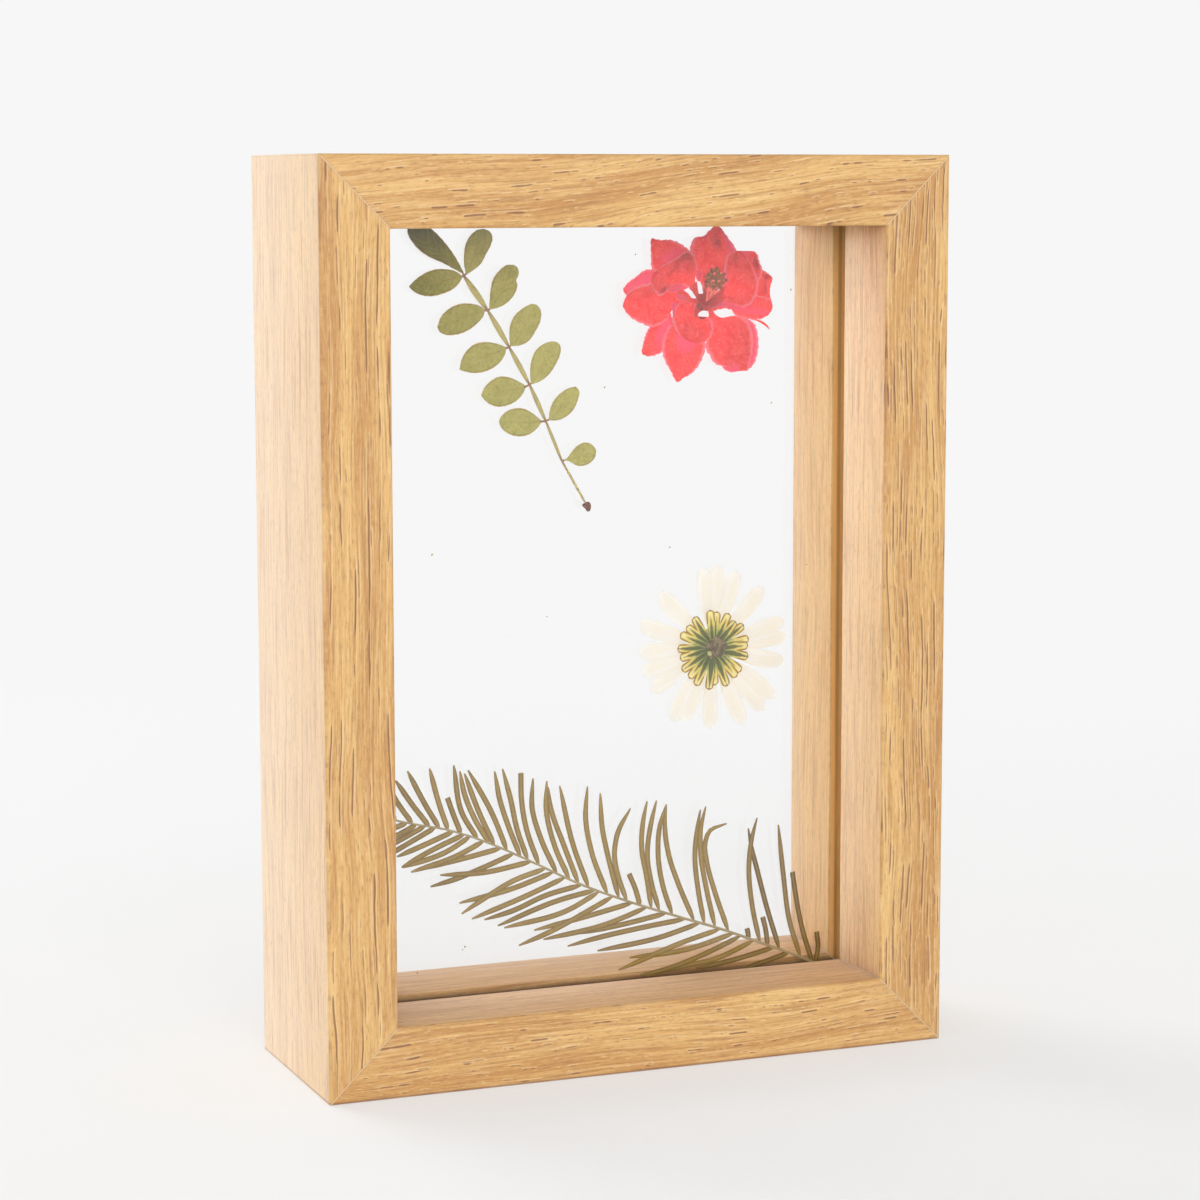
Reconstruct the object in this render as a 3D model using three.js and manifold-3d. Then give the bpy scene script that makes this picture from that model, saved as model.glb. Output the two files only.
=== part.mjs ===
// Pressed flower frame: an oak frame with two clear panes, and four dried plants held flat between them.
// Millimetres, +Z up. The origin is the middle of the foot, and the front looks along -Y.

import * as THREE from 'three';
import { mergeVertices } from 'three/addons/utils/BufferGeometryUtils.js';
import Module from 'manifold-3d';

// The frame: one moulding section, mitred at the corners.
const frameWidth = 130;
const frameHeight = 179;
const frameDepth = 45;
const faceWidth = 13.8;
const grooveDepth = 4;
const grooveWidth = 7.8;
const easing = 0.8;
const mitreGap = 0.3;

// The panes: they stand in the groove all round, with the plants in the space between them.
const paneThickness = 3;
const paneSpacing = 1.2;
const paneInGroove = 3.5;
const paneEasing = 0.3;

// The leaf sprig: where the leaflet pairs leave the stem, from the top node down to the cut end.
const sprigNodes = [[-29.2, 155.5], [-24.5, 149], [-20.1, 141.8], [-15.9, 134.4], [-12.5, 127.1], [-9.2, 119.3],
  [-3.9, 110.4]];
const stemSegmentWidths = [1.4, 1.15, 1.05, 0.95, 0.7, 0.55];
const stemPinch = 0.35;
const stemThickness = 0.5;
const cutEndCentre = [-3.75, 109.8];
const cutEndRadius = 0.8;
const leafletThickness = 0.18;
const leafletClearance = 0.5;

// Leaflets: base, tip, width, and the side they grow on, which sets their depth.
const leaflets = [
  { base: [-29.5, 156.1], tip: [-41.2, 166.2], width: 5.4, layer: 0 },
  { base: [-29.6, 155.4], tip: [-40.5, 153.6], width: 5.2, layer: 1 },
  { base: [-28.9, 156.1], tip: [-24.7, 165], width: 5.3, layer: -1 },
  { base: [-25, 148.8], tip: [-34.9, 145.6], width: 5.6, layer: 1 },
  { base: [-24.2, 149.3], tip: [-18.8, 157.9], width: 5.2, layer: -1 },
  { base: [-20.6, 141.6], tip: [-30.4, 137.5], width: 5.6, layer: 1 },
  { base: [-19.8, 142], tip: [-14.6, 150.3], width: 5.2, layer: -1 },
  { base: [-16.4, 134.1], tip: [-26, 132.6], width: 5.7, layer: 1 },
  { base: [-15.5, 134.6], tip: [-10.5, 142.9], width: 4.9, layer: -1 },
  { base: [-13.1, 127.1], tip: [-22.2, 127.3], width: 5.5, layer: 1 },
  { base: [-12, 127.3], tip: [-5.7, 133.8], width: 4.6, layer: -1 },
  { base: [-8.7, 119.3], tip: [-1.9, 120.9], width: 4.5, layer: -1 },
];

// The red flower: each petal's outline, and its layer in the pressed stack, 0 nearest the front.
const petals = {
  petal_top: { layer: 2, outline: [[21.3, 150.8], [20.9, 152.5], [20.3, 154.3], [19, 158], [18.3, 160.2],
    [18.7, 162], [21, 163], [23.5, 165.1], [24.6, 165.1], [26.5, 162.8], [28.4, 160], [27.2, 156.5], [24.8, 152.6]] },
  petal_upper_left: { layer: 4, outline: [[10, 162.7], [14, 162.4], [16.2, 161.7], [18.3, 160.2], [19.5, 157.5],
    [17.5, 155.6], [13.5, 156.2], [10.3, 156.5], [10, 159.5]] },
  petal_inner_left: { layer: 1, outline: [[18.2, 160.2], [12, 157.2], [10, 155.3], [10, 153.4], [11.6, 151.3],
    [14, 152.7], [17.4, 153.2], [19.2, 151.7], [19.3, 154.3], [19.6, 157.5]] },
  petal_left_small: { layer: 3, outline: [[4, 152.6], [6.8, 155.2], [8.5, 156.4], [10.2, 156.6], [12.5, 155.5],
    [13.4, 153.5], [12, 151.8], [8, 151.2], [4.9, 151.3]] },
  petal_left: { layer: 2, outline: [[3.8, 149.5], [4.6, 151.6], [7, 153.3], [10, 154], [13, 153.8], [16.3, 152.2],
    [18.3, 150.5], [16.8, 149.6], [14.6, 148.6], [13.2, 146.5], [10, 145.2], [8, 145.9], [5.4, 147.3]] },
  petal_lower_left: { layer: 4, outline: [[8, 140], [8.3, 141.8], [9.7, 145.2], [12, 147.3], [14.4, 147.8],
    [14.8, 145.4], [13, 143], [12.4, 140.2], [9.3, 139.4]] },
  petal_bottom_left: { layer: 3, outline: [[15.6, 134.1], [14.3, 136.2], [13.2, 138], [12.4, 140.2],
    [12.5, 142.7], [14.2, 145.6], [16.5, 146.5], [19.5, 145.5], [21.4, 143], [21.8, 140.9], [20.2, 137.2],
    [18.3, 135.5]] },
  petal_bottom_centre: { layer: 1, outline: [[14.5, 146.5], [15, 144.6], [16.5, 143], [18.5, 142.1],
    [20.5, 141.8], [22.3, 142.4], [23.3, 144.6], [22.4, 147], [20.6, 146.3], [19.4, 147.3], [19.6, 149.8],
    [17.5, 150.3], [15.4, 149.4]] },
  petal_bottom_right: { layer: 2, outline: [[21.7, 140.9], [22.1, 142.8], [22.5, 145], [23.3, 147.3],
    [25.3, 146.9], [28.5, 147.2], [31, 146], [32, 143.5], [32, 140.5], [30.9, 136.1], [29, 136.3], [26, 137],
    [23.6, 137.8]] },
  petal_bottom_right_under: { layer: 4, outline: [[25.8, 136.5], [27.5, 135.8], [31, 136.1], [32.5, 137.2],
    [33.5, 141], [33.3, 143.5], [32.6, 145.4], [30.4, 146.6], [29.5, 142]] },
  petal_right_lower: { layer: 3, outline: [[22, 149.9], [23.2, 148.7], [25.4, 148.8], [27.4, 148.5],
    [28.4, 147.5], [33.1, 146.5], [35.6, 147.2], [36.5, 148.5], [36.4, 149.8], [34, 151.2], [27, 151],
    [23.5, 151.2]] },
  petal_right: { layer: 1, outline: [[22.5, 150.4], [24.2, 149.6], [26.6, 150.4], [28.2, 149.3], [29.8, 148.8],
    [32.3, 150.4], [33.2, 153.5], [32.3, 156], [30.3, 159.2], [28.4, 160], [26.5, 159.4], [25.6, 156.5]] },
  petal_upper_right: { layer: 4, outline: [[28.4, 160], [31, 160], [33.2, 159.4], [34.3, 156.2], [33.4, 153.8],
    [31, 153], [28.5, 154.5], [27.6, 157.5]] },
  petal_far_right: { layer: 5, outline: [[34.3, 156.2], [36.7, 154.6], [36.1, 151.8], [36.5, 149.5],
    [32.6, 150.6], [31.2, 152.6], [32.2, 154.8]] },
  stamens: { layer: 0, outline: [[21.2, 155.5], [22.3, 155.8], [23.8, 156.6], [24.4, 155.5], [26, 154],
    [25.8, 152.4], [23.8, 153.3], [22.4, 152.9], [22.1, 154.2]] },
  pistil: { layer: 0, outline: [[19.6, 150], [20.3, 149.9], [21, 148.8], [20.6, 148], [19.9, 148.6]] },
  spur: { layer: 3, outline: [[33.3, 146.1], [34.9, 145.7], [35.9, 144.4], [34.7, 145.2], [33.4, 145.6]] },
};
const petalLayerSpacing = 0.18;
const petalThickness = 0.12;
const outlineSteps = 3;

// The daisy, seen from under its head: tips of the narrow green bracts, and tips of the ray petals.
const daisyCentre = [23.4, 80];
const bractTips = [[22.7, 88], [24.3, 87.6], [27, 87.1], [28.4, 85.4], [30.3, 84.6], [31.5, 81.7], [31.2, 80.3],
  [31.3, 77.9], [29.8, 75], [28.7, 73.9], [26.6, 72.1], [23.9, 72.4], [22.5, 71.6], [19.6, 72.6], [18.2, 74.2],
  [16.5, 75.9], [16.1, 78.4], [15.6, 80.4], [16.1, 83.4], [17.6, 84.9], [19.2, 86.7]];
const bractWidth = 1.5;
const bractRootRadius = 4;
const headRadius = 4.6;
const headThickness = 0.5;
const rayTips = [[21.5, 96.5], [25, 97], [29, 95.5], [34.8, 92], [39.5, 85], [40, 81.5], [39.5, 76.5], [37.5, 69],
  [35, 66.5], [30.5, 64], [23, 63.5], [17.5, 65.5], [14.5, 65.5], [10, 72], [8, 76], [7.5, 80], [7.5, 86],
  [12, 92]];
const rayWidth = 3.3;
const rayRootRadius = 4.4;
const rayThickness = 0.12;
const rayDepths = [0.14, 0.32];

// The frond: its midrib from the hidden tip to the cut end, then each needle from its foot to its tip.
const midribRoute = [[-53.2, 53], [-48, 51], [-44, 49.6], [-40, 48.5], [-36.3, 47.7], [-31, 46.1], [-24, 43.2],
  [-16, 39.2], [-5, 33.5], [4, 29.7], [16, 25.2], [25, 22], [36, 17.5], [42.7, 14.7], [47.5, 12.4]];
const upperNeedles = [
  [[-47.5, 50.9], [-49.4, 53.4], [-50.9, 56]],
  [[-44.3, 49.8], [-47, 53.4], [-49, 57.2]],
  [[-40.8, 49], [-44.3, 53.8], [-46.6, 58.4]],
  [[-37.2, 48.2], [-40.5, 52], [-44.3, 57.6]],
  [[-35, 47.9], [-38, 52], [-41.8, 59.3]],
  [[-33.2, 47.6], [-35.2, 52], [-37.2, 59.5]],
  [[-30.7, 46.7], [-32.4, 50], [-33.6, 53.4]],
  [[-27, 45], [-30.5, 50], [-32.2, 59.8]],
  [[-24.7, 43.6], [-28, 49], [-30, 54], [-30.9, 58.5]],
  [[-23.6, 43.5], [-27, 50], [-30, 58]],
  [[-20.8, 42.4], [-24.2, 49.5], [-29.2, 58.6]],
  [[-17.9, 40.8], [-20.5, 46], [-22.5, 52], [-23.6, 58]],
  [[-16.5, 40], [-19, 46], [-20.3, 52], [-22, 58.4]],
  [[-13.9, 38.8], [-17, 46], [-18, 52], [-18.1, 57.3]],
  [[-10.2, 36.9], [-14, 44], [-15.7, 50], [-15.5, 56]],
  [[-7.6, 35.3], [-11, 42], [-12.8, 50], [-12.6, 55.3]],
  [[-5.7, 34.4], [-9, 42], [-11.8, 50], [-12.3, 54]],
  [[-3.3, 33.4], [-7, 42], [-9.8, 54.1]],
  [[0.7, 31.6], [-3, 40], [-4.3, 47], [-3.9, 53.6]],
  [[3.2, 30.8], [0.8, 38], [-0.7, 45], [-1.1, 52]],
  [[5, 30], [3, 34], [2, 39], [2.7, 43.5], [5.5, 48.4]],
  [[8, 29.3], [6.4, 32], [5.1, 35]],
  [[10.5, 28.3], [9, 34], [7.9, 40], [8.3, 46], [9.1, 49.6]],
  [[12.2, 27.5], [10, 33], [9.2, 38], [10, 45], [11.2, 49.6]],
  [[14.9, 26.6], [12.5, 32], [11.5, 38], [11.8, 44], [13.3, 48.7]],
  [[19.9, 24.6], [16, 32], [13.9, 38], [13, 44], [13.3, 48.6]],
  [[22.2, 23.9], [20.5, 30], [19.7, 38], [20.2, 43], [20.9, 47]],
  [[24.4, 22.9], [22.3, 30], [20.9, 38], [20.9, 43], [22, 47.6]],
  [[27.3, 21.6], [24, 30], [22.3, 36], [21.9, 40], [22.8, 42.3], [26.7, 43.7]],
  [[31.9, 19.8], [31.6, 20.6], [31.4, 21.4]],
  [[34.7, 18.9], [32.5, 26], [31.7, 34], [32.3, 40], [33.5, 44.4]],
  [[36.4, 18.1], [35.6, 20.8], [34.9, 23.5]],
  [[39.2, 17.1], [36, 25], [33.5, 34], [32.4, 38], [31.6, 42.3]],
  [[43.9, 14.7], [41, 22], [39.5, 32], [38.3, 42.6]],
  [[46.5, 13.5], [44, 20], [42.3, 28], [41.6, 32.4]],
  [[47.3, 13], [47.6, 16], [47.3, 19.3]],
];
const lowerNeedles = [
  [[-47.6, 50.8], [-50.4, 50.5], [-53.2, 49.8]],
  [[-44.6, 49.7], [-48, 49.1], [-51.8, 48]],
  [[-42, 48.9], [-45.5, 47.9], [-50.4, 46.6]],
  [[-40, 48.4], [-44.3, 46.6], [-49.5, 44.9]],
  [[-38.2, 47.9], [-44.3, 45.3], [-48.6, 43.5]],
  [[-36.2, 47.5], [-44.3, 43.6], [-46.8, 42.4]],
  [[-32.6, 46.3], [-38, 44.5], [-44.2, 42.4]],
  [[-30.2, 45.6], [-36, 43.5], [-43.2, 40.2]],
  [[-28.8, 45], [-33.5, 42.7], [-43, 40.1]],
  [[-26.2, 43.9], [-32, 41.5], [-41.3, 39.1]],
  [[-22.4, 42.2], [-30, 41], [-40.5, 39.4]],
  [[-19.8, 40.9], [-26, 38.8], [-32, 36.9], [-37.2, 35.8]],
  [[-16.1, 38.9], [-26, 37.8], [-35.2, 38]],
  [[-12.9, 37.4], [-20, 35.5], [-26, 32.5], [-30.8, 29.8]],
  [[-11.3, 36.5], [-20, 34], [-31.2, 32]],
  [[-9, 35.2], [-18, 32], [-28.7, 28.6]],
  [[-5.2, 33.4], [-13, 32], [-20, 29.5], [-26, 28.2]],
  [[-2.2, 32.1], [-10, 30.8], [-23.1, 26.7]],
  [[-1.4, 31.7], [-8, 28.7], [-21.8, 26.2]],
  [[1.6, 30.6], [-4, 28], [-12, 24.5], [-18.7, 22.3]],
  [[5.9, 28.9], [-5, 26.8], [-15.4, 25.1]],
  [[9, 27.7], [0, 25], [-13.5, 23.1]],
  [[13.3, 26.2], [4, 24.7], [-6, 23.6]],
  [[17.8, 24.5], [8, 23], [-2, 23], [-8.2, 21.2]],
  [[20.7, 23.4], [12, 21.3], [-1.8, 19.7]],
  [[25.4, 21.8], [16, 19.5], [7, 16.6], [2.8, 15.3]],
  [[28.6, 20.6], [18, 18.2], [5.2, 17.6]],
  [[30, 20], [22, 17], [13, 14.5], [7.5, 13.8]],
  [[33, 18.7], [24, 15.6], [16, 14.7], [9, 13.5]],
  [[37.5, 16.9], [28, 15], [20, 14]],
  [[40.8, 15.5], [35, 14], [31, 13.2]],
];
const midribWidth = 0.7;
const needleWidth = 0.85;
const needlePoint = 0.16;
const needleSteps = 4;
const frondThickness = 0.25;

const wasm = await Module();
wasm.setup();

const object = new THREE.Group();

// A new material for one piece, by colour and roughness.
function finish(colour, roughness) {
  return new THREE.MeshStandardMaterial({ color: colour, roughness, metalness: 0 });
}

const oak = () => finish(0xdeb277, 0.65);
const glass = () => finish(0xf2f6f4, 0.05);
const driedLeaf = () => finish(0xb0aa6e, 0.8);
const redPetal = () => finish(0xfa6a66, 0.8);
const brownPart = () => finish(0x8a5a44, 0.9);
const paleRay = () => finish(0xfbf3e2, 0.8);
const greenHead = () => finish(0x8e8650, 0.85);
const driedNeedle = () => finish(0xa5915f, 0.85);

function addPiece(name, geometry, material) {
  const mesh = new THREE.Mesh(geometry, material);
  mesh.name = name;
  object.add(mesh);
  return mesh;
}

// A flat sheet: the outline lies in X and Z, and the thickness is centred on the given depth in Y.
function sheet(shape, depth, thickness) {
  const geometry = new THREE.ExtrudeGeometry(shape, { depth: thickness, bevelEnabled: false });
  geometry.rotateX(Math.PI / 2);
  geometry.translate(0, depth + thickness / 2, 0);
  return geometry;
}

function asPoints(pairs) {
  return pairs.map(([x, z]) => new THREE.Vector2(x, z));
}

// A strip that follows a smooth route, with halfWidth(t) to each side of it.
function strip(route, halfWidth, steps) {
  const curve = new THREE.SplineCurve(asPoints(route));
  const leftSide = [];
  const rightSide = [];
  for (let step = 0; step <= steps; step += 1) {
    const t = step / steps;
    const middle = curve.getPoint(t);
    const along = curve.getTangent(t);
    const across = new THREE.Vector2(-along.y, along.x).multiplyScalar(halfWidth(t));
    leftSide.push(middle.clone().add(across));
    rightSide.unshift(middle.clone().sub(across));
  }
  return new THREE.Shape([...leftSide, ...rightSide]);
}

function disc(centre, radius) {
  const shape = new THREE.Shape();
  shape.absarc(centre[0], centre[1], radius, 0, 2 * Math.PI);
  return shape;
}

function asSolid(geometry) {
  const bare = geometry.clone();
  bare.deleteAttribute('normal');
  bare.deleteAttribute('uv');
  const merged = mergeVertices(bare);
  return new wasm.Manifold(new wasm.Mesh({
    numProp: 3,
    vertProperties: new Float32Array(merged.attributes.position.array),
    triVerts: new Uint32Array(merged.index.array),
  }));
}

// One closed body from sheets that grew as one.
function grownTogether(geometries) {
  let solid = asSolid(geometries[0]);
  for (const geometry of geometries.slice(1)) {
    solid = solid.add(asSolid(geometry));
  }
  const mesh = solid.getMesh();
  const joined = new THREE.BufferGeometry();
  joined.setAttribute('position', new THREE.BufferAttribute(mesh.vertProperties, 3));
  joined.setIndex(new THREE.BufferAttribute(mesh.triVerts, 1));
  joined.computeVertexNormals();
  return joined;
}

// The moulding's section: X runs in from the outer face, Y through the depth, with the groove in the inner face.
function mouldingSection() {
  const half = frameDepth / 2;
  const grooveHalf = grooveWidth / 2;
  const grooveFloor = faceWidth - grooveDepth;
  const section = new THREE.Shape();
  section.moveTo(easing, -half);
  section.lineTo(faceWidth - easing, -half);
  section.quadraticCurveTo(faceWidth, -half, faceWidth, -half + easing);
  section.lineTo(faceWidth, -grooveHalf);
  section.lineTo(grooveFloor, -grooveHalf);
  section.lineTo(grooveFloor, grooveHalf);
  section.lineTo(faceWidth, grooveHalf);
  section.lineTo(faceWidth, half - easing);
  section.quadraticCurveTo(faceWidth, half, faceWidth - easing, half);
  section.lineTo(easing, half);
  section.quadraticCurveTo(0, half, 0, half - easing);
  section.lineTo(0, -half + easing);
  section.quadraticCurveTo(0, -half, easing, -half);
  return section;
}

// One moulding: each point stops short of the end by its distance from the outer face, which mitres both ends.
function moulding(length) {
  const geometry = new THREE.ExtrudeGeometry(mouldingSection(), {
    depth: 1,
    bevelEnabled: false,
    curveSegments: 3,
  });
  const points = geometry.attributes.position;
  for (let i = 0; i < points.count; i += 1) {
    const reach = length / 2 - points.getX(i) - mitreGap / Math.SQRT2;
    points.setZ(i, points.getZ(i) > 0.5 ? reach : -reach);
  }
  geometry.computeVertexNormals();
  return geometry;
}

function addMoulding(name, length, x, z, turn) {
  const mesh = addPiece(name, moulding(length), oak());
  mesh.position.set(x, 0, z);
  mesh.rotation.y = turn;
}

function addFrame() {
  addMoulding('left_stile', frameHeight, -frameWidth / 2, frameHeight / 2, 0);
  addMoulding('right_stile', frameHeight, frameWidth / 2, frameHeight / 2, Math.PI);
  addMoulding('top_rail', frameWidth, 0, frameHeight, Math.PI / 2);
  addMoulding('bottom_rail', frameWidth, 0, 0, -Math.PI / 2);
}

// A pane, with its edges eased all round by one small bevel.
function addPane(name, depth) {
  const halfWidth = frameWidth / 2 - faceWidth + paneInGroove - paneEasing;
  const bottom = faceWidth - paneInGroove + paneEasing;
  const top = frameHeight - bottom;
  const shape = new THREE.Shape(asPoints([[-halfWidth, bottom], [halfWidth, bottom], [halfWidth, top],
    [-halfWidth, top]]));
  const geometry = new THREE.ExtrudeGeometry(shape, {
    depth: paneThickness - 2 * paneEasing,
    bevelThickness: paneEasing,
    bevelSize: paneEasing,
    bevelSegments: 1,
  });
  geometry.rotateX(Math.PI / 2);
  geometry.translate(0, depth + paneThickness / 2 - paneEasing, 0);
  addPiece(name, geometry, glass());
}

function addPanes() {
  const depth = (paneSpacing + paneThickness) / 2;
  addPane('front_pane', -depth);
  addPane('back_pane', depth);
}

// The stem swells between the nodes and ends in the scar where it was cut.
function addSprigStem() {
  const segments = stemSegmentWidths.map((width, i) => {
    const halfWidth = (t) => (stemPinch + (width - stemPinch) * Math.sin(Math.PI * t)) / 2;
    return sheet(strip([sprigNodes[i], sprigNodes[i + 1]], halfWidth, 6), 0, stemThickness);
  });
  const cutEnd = sheet(disc(cutEndCentre, cutEndRadius), 0, stemThickness);
  addPiece('sprig_stem', grownTogether([...segments, cutEnd]), driedLeaf());
}

// A leaflet is widest a little beyond the middle, with a wedge-shaped foot and a round tip.
function addLeaflets() {
  const narrowest = 0.15;
  leaflets.forEach(({ base, tip, width, layer }, i) => {
    const halfWidth = (t) => Math.max(narrowest, (width / 2) * Math.sin(Math.PI * t ** 1.15) ** 0.7);
    const length = Math.hypot(tip[0] - base[0], tip[1] - base[1]);
    const foot = leafletClearance / length;
    const start = [base[0] + (tip[0] - base[0]) * foot, base[1] + (tip[1] - base[1]) * foot];
    const outline = strip([start, tip], halfWidth, 12);
    const depth = layer * (leafletThickness + 0.06);
    const name = `leaflet_${String(i + 1).padStart(2, '0')}`;
    addPiece(name, sheet(outline, depth, leafletThickness), driedLeaf());
  });
}

// Each petal is a smooth closed outline in its own layer of the stack.
function addRedFlower() {
  for (const [name, { layer, outline }] of Object.entries(petals)) {
    const corners = outline.map(([x, z]) => new THREE.Vector3(x, z, 0));
    const curve = new THREE.CatmullRomCurve3(corners, true, 'centripetal');
    const edge = curve.getPoints(outline.length * outlineSteps).slice(0, -1);
    const shape = new THREE.Shape(edge.map(({ x, y }) => new THREE.Vector2(x, y)));
    const depth = (layer - 2.5) * petalLayerSpacing;
    const material = name === 'stamens' || name === 'pistil' ? brownPart() : redPetal();
    addPiece(name, sheet(shape, depth, petalThickness), material);
  }
}

// The point at the given distance from the daisy's centre, on the line to a tip.
function towards(tip, radius) {
  const offset = new THREE.Vector2(tip[0] - daisyCentre[0], tip[1] - daisyCentre[1]).setLength(radius);
  return [daisyCentre[0] + offset.x, daisyCentre[1] + offset.y];
}

function addDaisy() {
  const bracts = bractTips.map((tip) => {
    const halfWidth = (t) => (bractWidth / 2) * Math.min(1, 0.35 + 4 * (1 - t));
    const foot = towards(tip, bractRootRadius);
    return sheet(strip([foot, tip], halfWidth, 4), -headThickness / 2, headThickness);
  });
  const cup = sheet(disc(daisyCentre, headRadius), -headThickness / 2, headThickness);
  addPiece('daisy_head', grownTogether([cup, ...bracts]), greenHead());

  rayTips.forEach((tip, i) => {
    const root = towards(tip, rayRootRadius);
    const halfWidth = (t) => (rayWidth / 2) * (0.4 + 0.6 * Math.sin(Math.PI * t ** 1.2) ** 0.6);
    const name = `ray_${String(i + 1).padStart(2, '0')}`;
    addPiece(name, sheet(strip([root, tip], halfWidth, 8), rayDepths[i % 2], rayThickness), paleRay());
  });
}

// The point of the midrib nearest to a needle's foot, so that every needle grows out of it.
function footOnMidrib([x, z]) {
  const foot = new THREE.Vector2(x, z);
  const points = new THREE.SplineCurve(asPoints(midribRoute)).getPoints(300);
  const nearest = points.reduce((best, point) => (
    point.distanceTo(foot) < best.distanceTo(foot) ? point : best
  ));
  return nearest.toArray();
}

function addFrond() {
  const midribHalf = (t) => (midribWidth / 2) * (0.4 + 0.6 * t);
  const midrib = sheet(strip(midribRoute, midribHalf, 36), 0, frondThickness);
  const needleHalf = (t) => (needlePoint + (needleWidth - needlePoint) * Math.min(1, 4 * t + 0.3, 3 * (1 - t))) / 2;
  const needles = [...upperNeedles, ...lowerNeedles].map(([foot, ...rest]) => (
    sheet(strip([footOnMidrib(foot), ...rest], needleHalf, needleSteps), 0, frondThickness)
  ));
  addPiece('frond', grownTogether([midrib, ...needles]), driedNeedle());
}

addFrame();
addPanes();
addSprigStem();
addLeaflets();
addRedFlower();
addDaisy();
addFrond();

export default object;
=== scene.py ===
# %% [markdown]
# # A pressed flower frame
# The object is a thick oak frame that stands on its own foot. Two clear panes sit in a groove half way
# through its depth, and four dried plants are held flat between them: a leaf sprig, a red flower, a daisy
# seen from under its head, and a frond of narrow needles. The measured model is loaded first, and every
# piece below is made in the same space, in metres, with +Z up and the front towards -Y.

# %% Load the measured frame
import math

import bpy
import numpy as np
from mathutils import Matrix, Vector


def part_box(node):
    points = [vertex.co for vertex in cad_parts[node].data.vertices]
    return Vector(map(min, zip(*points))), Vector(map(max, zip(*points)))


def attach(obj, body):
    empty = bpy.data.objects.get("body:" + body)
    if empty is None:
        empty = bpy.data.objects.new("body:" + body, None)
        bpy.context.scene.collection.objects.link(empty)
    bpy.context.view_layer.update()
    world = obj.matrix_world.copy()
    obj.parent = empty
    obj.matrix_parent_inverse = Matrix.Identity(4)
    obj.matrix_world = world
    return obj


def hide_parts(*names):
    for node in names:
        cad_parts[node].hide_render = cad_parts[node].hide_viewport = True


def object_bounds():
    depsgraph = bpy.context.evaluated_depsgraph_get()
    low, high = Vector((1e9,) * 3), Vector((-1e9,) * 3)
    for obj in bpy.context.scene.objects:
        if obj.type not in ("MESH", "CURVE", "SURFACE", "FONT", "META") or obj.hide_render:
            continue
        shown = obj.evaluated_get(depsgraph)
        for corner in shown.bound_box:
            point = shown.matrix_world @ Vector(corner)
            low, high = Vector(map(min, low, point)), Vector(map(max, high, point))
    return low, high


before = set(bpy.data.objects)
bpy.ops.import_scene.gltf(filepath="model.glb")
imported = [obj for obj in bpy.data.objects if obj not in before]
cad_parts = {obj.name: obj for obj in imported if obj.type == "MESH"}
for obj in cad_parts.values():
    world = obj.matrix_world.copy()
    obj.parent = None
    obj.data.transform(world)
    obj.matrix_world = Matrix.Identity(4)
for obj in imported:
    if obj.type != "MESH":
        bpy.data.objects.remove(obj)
cad_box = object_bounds()
scene = bpy.context.scene
MM = 0.001
print("measured box in mm:", [[round(c / MM, 1) for c in corner] for corner in cad_box])

# %% [markdown]
# ## The camera
# The eye stands to the left of the frame and just below its top, so that the left side, the inner right
# wall and the floor of the opening all show. A camera object looks along its own -Z, so its matrix is built
# from three directions: right, up and backwards. That is clearer than three angles, and the small roll is
# easy to add.

# %% Place the camera
CAMERA_PLACE = Vector((-240.4, -597.1, 173.1)) * MM
CAMERA_YAW = math.radians(21.877)
CAMERA_PITCH = math.radians(7.275)
CAMERA_ROLL = math.radians(-0.092)
LENS_MM = 97.43
SENSOR_MM = 36
NEAREST_SEEN = 0.01
FARTHEST_SEEN = 50


def make_camera():
    """Forward is turned by the yaw from +Y towards +X, then tipped down by the pitch. The roll turns the
    right and the up direction about it by its cosine and sine."""
    forward = Vector((
        math.sin(CAMERA_YAW) * math.cos(CAMERA_PITCH),
        math.cos(CAMERA_YAW) * math.cos(CAMERA_PITCH),
        -math.sin(CAMERA_PITCH),
    ))
    level = Vector((math.cos(CAMERA_YAW), -math.sin(CAMERA_YAW), 0))
    upright = level.cross(forward)
    right = math.cos(CAMERA_ROLL) * level + math.sin(CAMERA_ROLL) * upright
    up = math.cos(CAMERA_ROLL) * upright - math.sin(CAMERA_ROLL) * level
    data = bpy.data.cameras.new("view")
    data.lens = LENS_MM
    data.sensor_width = SENSOR_MM
    data.clip_start = NEAREST_SEEN
    data.clip_end = FARTHEST_SEEN
    camera = bpy.data.objects.new("view", data)
    scene.collection.objects.link(camera)
    turn = Matrix((right, up, -forward)).transposed()
    camera.matrix_world = Matrix.Translation(CAMERA_PLACE) @ turn.to_4x4()
    scene.camera = camera


make_camera()
print("camera at", [round(c / MM) for c in CAMERA_PLACE], "mm, lens", LENS_MM)

# %% [markdown]
# ## Meshes from arrays
# Every piece here is one idea: a stack of closed rings, joined by quads, with one face on each end. A rail
# is its section carried along its length; a needle is an oval carried along a curve; a leaf is a very flat
# ring that widens and narrows. The rings are computed as whole numpy arrays, and the helper turns them into
# a closed mesh. It measures the signed volume of each stack and reverses the faces where that is negative,
# so the faces always point outwards.

# %% The mesh helper


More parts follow.
